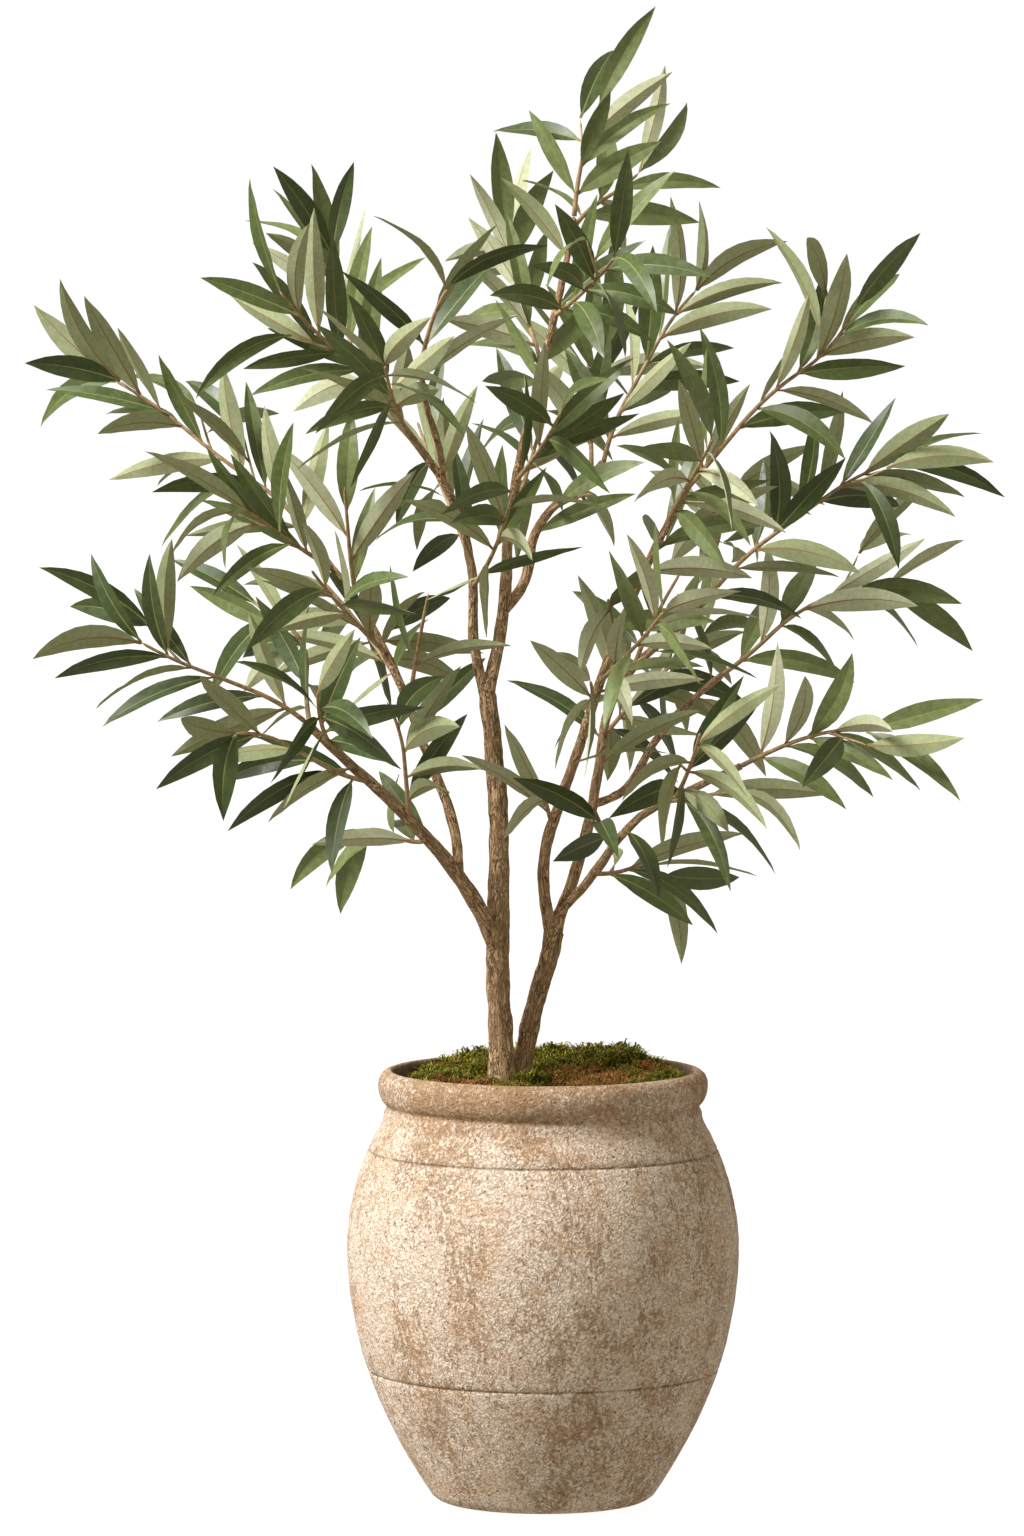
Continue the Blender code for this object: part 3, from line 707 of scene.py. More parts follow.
BOUGHS = (
    Limb("bough_lower_left", "trunk", 0.35, 0.279, (-18, -33, -43, -47, -44), -0.1, (0.0078, 0.0036)),
    Limb("bough_middle_left", "bough_lower_left", 0.28, 0.32, (0, -23, -21, -31, -41), 0.1, (0.0048, 0.0034)),
    Limb("leader", "trunk", 1.0, 0.434, (16, 2, 13, 14, 9), 0.02, (0.0060, 0.0028)),
    Limb("bough_upper_left", "trunk", 0.99, 0.305, (-23, 3, -16, -38, -34), -0.04, (0.0048, 0.0030)),
    Limb("bough_upper_middle", "bough_upper_left", 0.65, 0.109, (-2, -19, 0), -0.09, (0.0030, 0.0026)),
    Limb("bough_inner_right", "leader", 0.17, 0.165, (50, 4, 55, 42), 0.12, (0.0052, 0.0030)),
    Limb("bough_right", "second_stem", 1.0, 0.353, (24, 14, 6, 51, 42), 0.07, (0.0056, 0.0032)),
    Limb("bough_upper_right", "second_stem", 0.97, 0.428, (-20, 20, 17, 23, 29), -0.07, (0.0056, 0.0034)),
    Limb("bough_far_right", "bough_right", 0.33, 0.168, (84, 26, 46, 55), 0.10, (0.0040, 0.0030)),
    Limb("bough_lower_right", "bough_right", 0.05, 0.217, (43, 31, 63, 62), -0.12, (0.0044, 0.0030)),
)

MASSES = (
    Mass("leaves_top", "leader", 1.0, 0.100, (4, 12, 22), 0.00, 1),
    Mass("leaves_top_right", "leader", 0.97, 0.082, (32, 60, 46), 0.05, 1),
    Mass("leaves_top_front", "leader", 0.79, 0.075, (51, 45, 37), -0.13, 1),
    Mass("leaves_top_behind", "leader", 0.61, 0.150, (25, -20, -12, -16), 0.16, 1),
    Mass("leaves_centre_slim", "leader", 0.44, 0.077, (38, 32, 23), -0.12, 1),
    Mass("leaves_centre_front", "bough_upper_left", 0.33, 0.099, (35, 19, 15), -0.16, 1),
    Mass("leaves_centre_behind", "leader", 0.36, 0.110, (24, 18, 12), 0.25, 2),
    Mass("leaves_upper_middle", "bough_upper_middle", 1.0, 0.072, (9, 18, 30), -0.04, 1),
    Mass("leaves_upper_front", "bough_upper_left", 0.82, 0.070, (-30, -14, -4), -0.22, 1),
    Mass("leaves_upper_left", "bough_upper_left", 1.0, 0.120, (-33, -55, -42, -38), -0.06, 2),
    Mass("leaves_upper_left_tall", "bough_upper_left", 0.97, 0.136, (-63, -9, -17, -5), 0.10, 1),
    Mass("leaves_upper_behind", "bough_upper_left", 0.40, 0.130, (-20, -26, -20), 0.26, 2),
    Mass("leaves_left_long", "bough_middle_left", 1.0, 0.246, (-28, -57, -50, -62), 0.06, 2),
    Mass("leaves_left_hanging", "bough_middle_left", 0.94, 0.091, (-56, -51, -50), -0.12, 1),
    Mass("leaves_left_tall", "bough_middle_left", 0.82, 0.108, (-10, -4, -4), -0.05, 1),
    Mass("leaves_left_front", "bough_middle_left", 0.66, 0.105, (-40, -36, -30), -0.24, 2),
    Mass("leaves_left_behind", "bough_middle_left", 0.56, 0.110, (-36, -42, -48), 0.22, 2),
    Mass("leaves_left_centre", "bough_middle_left", 0.50, 0.107, (9, 10, 12), -0.07, 1),
    Mass("leaves_lower_left", "bough_lower_left", 1.0, 0.160, (-50, -67, -68, -58), -0.05, 2),
    Mass("leaves_lower_left_shelf", "bough_lower_left", 0.97, 0.146, (-14, 4, -66, -38), 0.15, 1),
    Mass("leaves_lower_left_front", "bough_lower_left", 0.88, 0.060, (-20, -6, 6), -0.18, 1),
    Mass("leaves_lower_left_under", "bough_lower_left", 0.71, 0.129, (-78, -57, -58, -95), -0.10, 1),
    Mass("leaves_lower_left_upright", "bough_lower_left", 0.53, 0.113, (-5, -4, -28), -0.06, 1),
    Mass("leaves_lower_left_low", "bough_lower_left", 0.44, 0.058, (-115, -63, -98), 0.06, 1),
    Mass("leaves_inner_right", "bough_inner_right", 1.0, 0.180, (12, 29, 29, 45), 0.05, 2),
    Mass("leaves_inner_behind", "bough_inner_right", 0.90, 0.105, (2, -4, 4), 0.16, 1),
    Mass("leaves_inner_low", "bough_inner_right", 0.60, 0.042, (49, 61, 75), -0.12, 1),
    Mass("leaves_upper_right", "bough_upper_right", 1.0, 0.222, (40, 39, 56, 24), -0.05, 2),
    Mass("leaves_upper_right_front", "bough_upper_right", 0.93, 0.085, (20, 26, 20), -0.20, 1),
    Mass("leaves_upper_right_behind", "bough_upper_right", 0.86, 0.100, (66, 60, 48), 0.25, 2),
    Mass("leaves_stem_sprig", "bough_upper_right", 0.24, 0.042, (-19, -10, 3), -0.05, 1),
    Mass("leaves_right_stem_low", "bough_upper_right", 0.49, 0.035, (12, -2, -14), -0.10, 1),
    Mass("leaves_right_stem_middle", "bough_upper_right", 0.65, 0.045, (-7, -10, -13), -0.12, 1),
    Mass("leaves_right_stem_front", "bough_upper_right", 0.56, 0.090, (40, 36, 30), -0.22, 2),
    Mass("leaves_right", "bough_right", 1.0, 0.198, (40, 54, 54, 73), 0.00, 2),
    Mass("leaves_right_inner", "bough_right", 0.70, 0.096, (20, 28, 32), 0.03, 1),
    Mass("leaves_right_behind", "bough_right", 0.50, 0.100, (44, 52, 50), 0.22, 2),
    Mass("leaves_far_right", "bough_far_right", 1.0, 0.176, (56, 47, 68, 94), 0.06, 2),
    Mass("leaves_lower_right", "bough_lower_right", 1.0, 0.115, (60, 65, 75, 97), -0.05, 2),
    Mass("leaves_lower_right_front", "bough_lower_right", 0.70, 0.070, (20, 14, 8), -0.17, 1),
    Mass("leaves_lower_right_under", "bough_lower_right", 0.65, 0.062, (83, 74, 88), -0.05, 1),
    Mass("leaves_lower_right_inner", "bough_lower_right", 0.35, 0.047, (-27, -24, -18), -0.06, 1),
    Mass("leaves_lower_right_low", "bough_lower_right", 0.21, 0.068, (100, 74, 141), 0.07, 1),
)


@dataclass
class Line:
    """The line of a limb, stem or twig with its radii, measured as a limb is.

    spacing is the distance between its points and sample_spacing that between
    its samples, in metres, and joint is how far the heading is smoothed to
    either side of a place, in points.
    """

    foot: Vector
    run: float
    lean: tuple[float, ...]
    back: float
    girth: Range
    spacing: float = 0.010
    fewest: int = 4
    sample_spacing: float = 0.006
    joint: float = 0.6
    length: float = field(init=False)
    points: list[Vector] = field(init=False)

    def __post_init__(self) -> None:
        """Work out the points, whose lean runs evenly through the angles."""
        self.length = math.hypot(self.run, self.back)
        strides = max(self.fewest, round(self.length / self.spacing))
        stops = np.linspace(0, 1, len(self.lean))
        point = Vector(self.foot)
        self.points = [point.copy()]
        for step in range(strides):
            angle = math.radians(float(np.interp((step + 0.5) / strides, stops, self.lean)))
            point += Vector((self.run * math.sin(angle), self.back, self.run * math.cos(angle))) / strides
            self.points.append(point.copy())

    def place(self, share: float) -> tuple[Vector, Vector]:
        """Find a place on the line.

        Args:
            share: The share of the length, from 0 at the foot to 1 at the tip.

        Returns:
            The point and the direction there.
        """
        spot = min(max(share, 0.0), 1.0) * (len(self.points) - 1)
        low = min(int(spot), len(self.points) - 2)
        here, there = self.points[low], self.points[low + 1]
        return here.lerp(there, spot - low), (there - here).normalized()

    def heading(self, share: float) -> Vector:
        """Return the direction at a share of the length, smoothed over the joints."""
        step = self.joint / len(self.points)
        return (self.place(share - step)[1] + self.place(share + step)[1]).normalized()

    def radius(self, share: float) -> float:
        """Return the radius at a share of the length."""
        return self.girth[0] + (self.girth[1] - self.girth[0]) * share

    def samples(self) -> tuple[np.ndarray, np.ndarray]:
        """Sample the line closely.

        Returns:
            Points along it, as rows of x, y and z, and the radii there.
        """
        count = max(3, int(self.length / self.sample_spacing))
        shares = [index / count for index in range(count + 1)]
        spots = np.array([self.place(share)[0] for share in shares])
        return spots, np.array([self.radius(share) for share in shares])


def outward(along: Vector, turn: float) -> Vector:
    """Find a direction square to a stem.

    Args:
        along: The stem's direction.
        turn: The turn about it, in radians.

    Returns:
        The direction, of length 1.
    """
    side = Vector((0, 1, 0)).cross(along)
    side = side.normalized() if side.length > LEAST_SIDE else Vector((1, 0, 0))
    return side * math.cos(turn) + along.cross(side) * math.sin(turn)


@dataclass
class Tube:
    """A tube that follows a line, modelled from a cylinder and swept along it.

    flare is how much wider it is at a root, collar is how much wider in metres
    where it leaves its parent, and relief is the height of its bark. The
    heights say how fast the first two fade, the waves are to the metre, and
    digits is how finely the places of its rings are told apart.
    """

    line: Line
    sides: int
    spacing: float
    relief: float = 0.0
    flare: float = 0.0
    flare_height: float = 0.016
    lobes: int = 3
    lobe_depth: float = 0.10
    lobe_turn: float = 0.8
    collar: float = 0.0
    collar_height: float = 0.010
    collar_curve: float = 1.3
    tip_round: float = 0.5
    waves_round: float = 260.0
    waves_along: float = 42.0
    finer: float = 2.3
    finer_share: float = 0.6
    swell: float = 0.05
    swell_waves: float = 26.0
    most_cuts: int = 100
    digits: int = 6

    def model(self, name: str) -> bpy.types.Object:
        """Model the swept tube, with its own map along the line.

        Args:
            name: The piece's name.

        Returns:
            The linked object at the origin.
        """
        rings = max(2, round(self.line.length / self.spacing))
        deselect()
        bpy.ops.mesh.primitive_cylinder_add(
            vertices=self.sides, radius=1.0, depth=1.0, end_fill_type="TRIFAN", location=(0, 0, 0.5)
        )
        piece = bpy.context.object
        piece.name = piece.data.name = name
        place_mesh(piece)
        self.cut_rings(piece, rings)
        self.map_along(piece.data)
        move_vertices(piece.data, self.swept(coordinates(piece.data)))
        smooth(piece)
        return piece

    def cut_rings(self, piece: bpy.types.Object, rings: int) -> None:
        """Divide the cylinder's upright edges into rings, in two rounds where there are many.

        Args:
            piece: The cylinder.
            rings: How many rings it gets.
        """
        mesh = piece.data
        take(piece)
        first = math.ceil(rings / self.most_cuts)
        for cuts in (first - 1, round(rings / first) - 1):
            if not cuts:
                continue
            ends = coordinates(mesh)[:, 2]
            for part in (mesh.polygons, mesh.vertices):
                part.foreach_set("select", [False] * len(part))
            upright = [abs(ends[edge.vertices[0]] - ends[edge.vertices[1]]) > HAIR for edge in mesh.edges]
            mesh.edges.foreach_set("select", upright)
            bpy.context.tool_settings.mesh_select_mode = (False, True, False)
            bpy.ops.object.mode_set(mode="EDIT")
            bpy.ops.mesh.subdivide(number_cuts=cuts)
            bpy.ops.object.mode_set(mode="OBJECT")

    def map_along(self, mesh: bpy.types.Mesh) -> None:
        """Lay a map over the tube: round it in metres, and along it in metres.

        Args:
            mesh: The unit cylinder's mesh.
        """
        layer = mesh.uv_layers.new(name="along")
        places = coordinates(mesh)
        round_length = math.pi * sum(self.line.girth)
        for polygon in mesh.polygons:
            turns = [math.atan2(places[v][1], places[v][0]) / math.tau for v in polygon.vertices]
            for loop, vertex, turn in zip(polygon.loop_indices, polygon.vertices, turns):
                turn += 1.0 if turn < max(turns) - 0.5 else 0.0
                layer.data[loop].uv = (turn * round_length, places[vertex][2] * self.line.length)

    def swept(self, places: np.ndarray) -> np.ndarray:
        """Lay a unit cylinder along the line with the relief.

        Args:
            places: The cylinder's vertex places.

        Returns:
            Their places on the tube.
        """
        frames = {}
        swept = np.empty_like(places)
        for number, (x, y, share) in enumerate(places):
            key = round(float(share), self.digits)
            if key not in frames:
                frames[key] = self.frame_at(key)
            spot, side, across = frames[key]
            out = math.hypot(x, y)
            turn = math.atan2(y, x)
            wide = out * self.radius(key, turn)
            swept[number] = spot + side * (wide * math.cos(turn)) + across * (wide * math.sin(turn))
        return swept

    def frame_at(self, share: float) -> tuple[Vector, Vector, Vector]:
        """Find the tube's section at a place.

        Args:
            share: The share of the line's length.

        Returns:
            The point there and two directions square to the line.
        """
        along = self.line.heading(share)
        if self.flare and share == 0.0:
            along = Vector((0, 0, 1))
        side = outward(along, 0.0)
        return self.line.place(share)[0], side, along.cross(side)

    def radius(self, share: float, turn: float) -> float:
        """Work out the radius with its rounded tip, collar, root flare and bark.

        Args:
            share: The share of the line's length.
            turn: The turn about the line, in radians.

        Returns:
            The radius in metres.
        """
        wide = self.line.radius(share)
        metres = share * self.line.length
        left = (1 - share) * self.line.length / (self.tip_round * wide)
        if left < 1:
            wide *= math.sqrt(max(0.0, 1 - (1 - left) ** 2))
        if self.collar:
            wide += self.collar * math.exp(-((metres / self.collar_height) ** self.collar_curve))
        if self.flare:
            fade = math.exp(-metres / self.flare_height)
            wide *= 1 + fade * (self.flare + self.lobe_depth * math.cos(self.lobes * turn + self.lobe_turn))
        if self.relief:
            cos, sin = math.cos(turn), math.sin(turn)
            across = (cos * wide * self.waves_round, sin * wide * self.waves_round)
            spot = Vector((*across, metres * self.waves_along))
            swell = noise.noise(Vector((cos, sin, metres * self.swell_waves)))
            rough = noise.noise(spot) + self.finer_share * noise.noise(spot * self.finer)
            wide += self.relief * rough + self.swell * wide * swell
        return wide


@dataclass
class Wood:
    """The two stems and the boughs, each a piece with the bark's relief.

    A bough swells at its foot to its parent's radius where it starts past
    end_share of it, and to side_collar of that radius where it starts below.
    """

    stem_sides: int = 36
    bough_sides: int = 20
    ring_spacing: float = 0.0022
    stem_relief: float = 0.0015
    bough_relief: float = 0.0008
    flare: float = 0.42
    end_share: float = 0.9
    side_collar: float = 0.6
    lines: dict[str, Line] = field(default_factory=dict)

    def grow(self) -> None:
        """Work out the line of each stem and bough, which starts on its parent's."""
        for limb in STEMS + BOUGHS:
            if limb.parent:
                foot = self.lines[limb.parent].place(limb.at)[0]
            else:
                foot = Vector((*TRUNK_FEET[limb.name], SOIL_LEVEL))
            self.lines[limb.name] = Line(foot, limb.run, limb.lean, limb.back, limb.girth)

    def build(self, finish: BarkFinish) -> None:
        """Build and dress every limb.

        Args:
            finish: The bark.
        """
        bark = finish.make()
        stems = {"sides": self.stem_sides, "relief": self.stem_relief, "flare": self.flare}
        for limb in STEMS + BOUGHS:
            boughs = {"sides": self.bough_sides, "relief": self.bough_relief, "collar": self.collar(limb)}
            sizes = boughs if limb.parent else stems
            tube = Tube(self.lines[limb.name], spacing=self.ring_spacing, **sizes)
            dress(tube.model(limb.name + "_bark"), bark, [limb.name])

    def collar(self, limb: Limb) -> float:
        """Work out how much a bough swells at its foot, to run smoothly out of its parent.

        Args:
            limb: The bough, or a stem, which doesn't swell.

        Returns:
            The swelling in metres.
        """
        if not limb.parent:
            return 0.0
        share = 1.0 if limb.at > self.end_share else self.side_collar
        return max(0.0, self.lines[limb.parent].radius(limb.at) * share - limb.girth[0])


# Leaves


class Face(Enum):
    """The kinds of a leaf's faces, by their material slots in the pattern."""

    TOP = 0
    TOP_RIB = 1
    UNDER = 2
    UNDER_RIB = 3


@dataclass(frozen=True)
class LeafPattern:
    """One olive leaf, modelled flat, which every leaf of the crown copies.

    rows are the shares of its length where it has a row of vertices. It is
    three faces wide, and the middle one is the midrib. The blade starts at
    blade_start of the stalk, fullness and the two curves shape its outline,
    and fold is how steeply its halves rise from the midrib.
    """

    length: float = 0.098
    width: float = 0.0182
    rib: float = 0.0014
    rib_taper: float = 1.05
    rib_most: float = 0.8
    stalk: float = 0.0017
    stalk_share: float = 0.07
    blade_start: float = 0.6
    fullness: float = 3.6
    root_curve: float = 0.82
    tip_curve: float = 1.02
    thinnest: float = 0.00008
    thickness: float = 0.0006
    fold: float = 0.28
    edge_merge: float = 0.0009
    columns: int = 3
    rows: tuple[float, ...] = (0.0, 0.06, 0.12, 0.21, 0.32, 0.44, 0.56, 0.68, 0.80, 0.91, 1.0)

    def half_width(self, share: float) -> float:
        """Work out half the width of the blade or, where it is wider, of the stalk.

        Args:
            share: The share of the length.

        Returns:
            Half the width in metres.
        """
        bare = self.stalk_share * self.blade_start
        inner = max(share - bare, 0.0) / (1 - bare)
        blade = self.width / 2 * self.fullness * inner**self.root_curve * (1 - inner) ** self.tip_curve
        return max(blade, self.stalk / 2 * (1 - share) ** 0.5, self.thinnest)

    def half_rib(self, share: float) -> float:
        """Return half the midrib's width at a share of the length."""
        return min(self.rib / 2 * (self.rib_taper - share), self.half_width(share) * self.rib_most)

    def model(self) -> bpy.types.Object:
        """Model the leaf: a grid narrowed row by row, folded, and given its thickness.

        Returns:
            The leaf, one long and as wide as it really is.
        """
        deselect()
        steps = len(self.rows) - 1
        bpy.ops.mesh.primitive_grid_add(
            x_subdivisions=self.columns, y_subdivisions=steps, size=1.0, location=(0, 0.5, 0)
        )
        piece = bpy.context.object
        place_mesh(piece)
        for number, share in enumerate(self.rows):
            with editing(piece, lambda co: abs(co.y - number / steps) < HAIR):
                bpy.ops.transform.translate(value=(0, share - number / steps, 0))
            self.shape_row(piece, share)
        self.paint(piece.data)
        apply_modifier(
            piece,
            "SOLIDIFY",
            thickness=self.thickness,
            offset=-1.0,
            use_rim=False,
            material_offset=Face.UNDER.value,
        )
        with editing(piece):
            bpy.ops.mesh.select_all(action="DESELECT")
            bpy.ops.mesh.select_non_manifold()
            bpy.ops.mesh.remove_doubles(threshold=self.edge_merge)
        return piece

    def shape_row(self, piece: bpy.types.Object, share: float) -> None:
        """Narrow one row to the rib's and the blade's width, and fold its edges up.

        Args:
            piece: The grid, one wide, whose rib is the middle column.
            share: The row's place along it.
        """
        centre = (0.0, share, 0.0)
        half = self.half_width(share)
        between = 1 / self.columns

        def inner(co: Vector) -> bool:
            """Tell whether a vertex of the row borders the midrib."""
            return abs(co.y - share) < HAIR and abs(co.x) < between

        def edge(co: Vector) -> bool:
            """Tell whether a vertex of the row is at the blade's edge."""
            return abs(co.y - share) < HAIR and abs(co.x) > between

        with editing(piece, inner):
            rib = self.half_rib(share) * 2 * self.columns
            bpy.ops.transform.resize(value=(rib, 1, 1), center_override=centre)
        with editing(piece, edge):
            bpy.ops.transform.resize(value=(half * 2, 1, 1), center_override=centre)
            bpy.ops.transform.translate(value=(0, 0, self.fold * half))

    def paint(self, mesh: bpy.types.Mesh) -> None:
        """Give the faces the slots of the blade or of the midrib and stalk.

        Args:
            mesh: The flat leaf's mesh, which gets a slot for each kind of face.
        """
        for kind in Face:
            mesh.materials.append(bpy.data.materials.new(kind.name))
        for polygon in mesh.polygons:
            on_rib = abs(polygon.center.x) < HAIR or polygon.center.y < self.stalk_share
            polygon.material_index = (Face.TOP_RIB if on_rib else Face.TOP).value


@dataclass(frozen=True)
class Leaf:
    """A leaf's place: root, direction, upper side, size, and how it bends and twists."""

    root: Vector
    along: Vector
    face: Vector
    length: float
    bend: Vector
    twist: float
    broad: float
    steps: int = 12

    def stations(self) -> tuple[np.ndarray, np.ndarray, np.ndarray]:
        """Follow the midrib from root to tip.

        Returns:
            Points down it, and the side and upper directions there, as rows.
        """
        point, way, face = self.root.copy(), self.along.copy(), self.face.copy()
        points, sides, faces = [], [], []
        for _ in range(self.steps + 1):
            side = way.cross(face).normalized()
            face = side.cross(way)
            points.append(point.copy())
            sides.append(side)
            faces.append(face.copy())
            point += way * (self.length / self.steps)
            way = (way + self.bend / self.steps).normalized()
            face = face + side * (self.twist / self.steps)
        return np.array(points), np.array(sides), np.array(faces)


# Places where the crown stands open from the front, as (x, z, radius) in metres
# in the plane of the trunk. They are circles that a measuring program found in
# the photograph's outline, rounded.
OPEN_SKY = (
    (0.010, 1.300, 0.034),
    (-0.070, 1.255, 0.030),
    (0.132, 1.212, 0.016),
    (0.235, 1.210, 0.070),
    (-0.100, 1.180, 0.034),
    (-0.290, 1.128, 0.018),
    (-0.350, 1.090, 0.030),
    (-0.305, 1.060, 0.026),
    (0.350, 1.020, 0.020),
    (0.282, 1.000, 0.014),
    (-0.135, 0.945, 0.018),
    (0.180, 0.950, 0.018),
    (-0.435, 0.917, 0.034),
    (-0.390, 0.880, 0.022),
    (-0.070, 0.850, 0.014),
    (0.015, 0.800, 0.012),
    (0.300, 0.780, 0.020),
    (0.320, 0.735, 0.022),
    (-0.003, 0.708, 0.014),
    (-0.205, 0.625, 0.014),
    (0.290, 0.595, 0.032),
    (-0.260, 0.580, 0.032),
    (-0.125, 0.540, 0.040),
    (0.195, 0.530, 0.022),
    (0.070, 0.500, 0.044),
    (-0.304, 0.785, 0.024),
    (0.267, 0.879, 0.022),
    (0.182, 1.028, 0.014),
    (-0.111, 1.091, 0.018),
    (0.006, 0.879, 0.012),
    (-0.325, 0.965, 0.012),
)


def seen(spots: np.ndarray) -> np.ndarray:
    """Find where points show in the plane of the trunk, as seen from the front.

    Args:
        spots: The points, as rows of x, y and z.

    Returns:
        Rows of x and z.
    """
    eye_x, eye_y, eye_z = Studio.camera_place
    share = eye_y / (eye_y - spots[:, 1])
    return np.stack([eye_x + (spots[:, 0] - eye_x) * share, eye_z + (spots[:, 2] - eye_z) * share], axis=1)


def nearest(spots: np.ndarray, line: np.ndarray) -> np.ndarray:
    """Return each point's distance to the nearest point of a line."""
    return np.linalg.norm(spots[:, None] - line[None], axis=2).min(axis=1)


@dataclass
class Space:
    """The room that each mass keeps to, a little past half-way to the other stems.

    reach is the farthest that a leaf stands from its mass's stem, overlap how
    much nearer to another stem it may be, wood_gap how far it clears the limbs
    and box_room how far it may pass the solids' box, in metres.
    """

    stems: dict[str, Line]
    limbs: dict[str, Line]
    reach: float = 0.125
    overlap: float = 0.018
    wood_gap: float = 0.0035
    box_room: float = 0.010

    def __post_init__(self) -> None:
        """Keep closely spaced points of all stems and limbs."""
        self.own = {name: stem.samples()[0] for name, stem in self.stems.items()}
        spots, widths = zip(*(line.samples() for line in self.limbs.values()))
        self.wood = np.concatenate(spots)
        self.girth = np.concatenate(widths)
        self.sky = np.array(OPEN_SKY)
        self.low = np.array(cad_box[0]) - self.box_room
        self.high = np.array(cad_box[1]) + self.box_room

    def holds(self, name: str, spots: np.ndarray) -> bool:
        """Tell whether points keep to a mass's room, the limbs' clearance and the open sky.

        Args:
            name: The mass's name.
            spots: The points, as rows of x, y and z.

        Returns:
            True where every point does.
        """
        if (spots < self.low).any() or (spots > self.high).any():
            return False
        mine = nearest(spots, self.own[name])
        if mine.max() > self.reach:
            return False
        away = np.linalg.norm(seen(spots)[:, None] - self.sky[None, :, :2], axis=2)
        if (away < self.sky[:, 2]).any():
            return False
        gaps = np.linalg.norm(spots[:, None] - self.wood[None], axis=2) - self.girth[None]
        if gaps.min() < self.wood_gap:
            return False
        others = (line for other, line in self.own.items() if other != name)
        return not any((nearest(spots, line) < mine - self.overlap).any() for line in others)


@dataclass
class Spray:
    """The leaves of one stem or twig, which share a tone."""

    tone: Tone
    leaves: list[Leaf] = field(default_factory=list)


@dataclass
class Taken:
    """The places that the leaves so far have taken.

    Tips and middles keep their gaps, in which depth counts for less. Beyond
    its root, no leaf has more than side_share of its length within side_gap of
    another as seen from the front.
    """

    tip_gap: float = 0.023
    middle_gap: float = 0.0155
    depth_share: float = 0.35
    side_gap: float = 0.0105
    side_share: float = 0.45
    root_free: int = 3
    margin: float = 0.0008
    near: float = 0.105
    runs: list[np.ndarray] = field(default_factory=list)
    trees: list[BVHTree] = field(default_factory=list)

    def has_room(self, points: np.ndarray, blade: np.ndarray) -> bool:
        """Tell whether a leaf keeps its distance from the others, and keep its place if so.

        Args:
            points: Points down its midrib.
            blade: Pairs of points at its edges, from root to tip.

        Returns:
            True where it touches none, and hides along none from the front.
        """
        middle = len(points) // 2
        faces = [(2 * k, 2 * k + 1, 2 * k + 3, 2 * k + 2) for k in range(len(blade) // 2 - 1)]
        tree = BVHTree.FromPolygons([tuple(spot) for spot in blade], faces)
        if self.runs:
            runs = np.array(self.runs)
            flat = np.array((1.0, self.depth_share, 1.0))
            for place, gap in ((-1, self.tip_gap), (middle, self.middle_gap)):
                if (np.linalg.norm((runs[:, place] - points[place]) * flat, axis=1) < gap).any():
                    return False
            apart = runs[:, middle] - points[middle]
            close = np.nonzero(np.linalg.norm(apart, axis=1) < self.near)[0]
            beside = np.nonzero(np.linalg.norm(apart[:, ::2], axis=1) < self.near)[0]
            if any(self.hides(points, runs[number]) for number in beside):
                return False
            if any(tree.overlap(self.trees[number]) for number in close):
                return False
        self.runs.append(points)
        self.trees.append(tree)
        return True

    def hides(self, points: np.ndarray, other: np.ndarray) -> bool:
        """Tell whether much of a leaf lies along another leaf as seen from the front.

        Args:
            points: Points down the leaf's midrib.
            other: Points down the other's.

        Returns:
            True where it does.
        """
        own = points[self.root_free:, ::2]
        gaps = np.linalg.norm(own[:, None] - other[None, :, ::2], axis=2).min(axis=1)
        return (gaps < self.side_gap).mean() > self.side_share


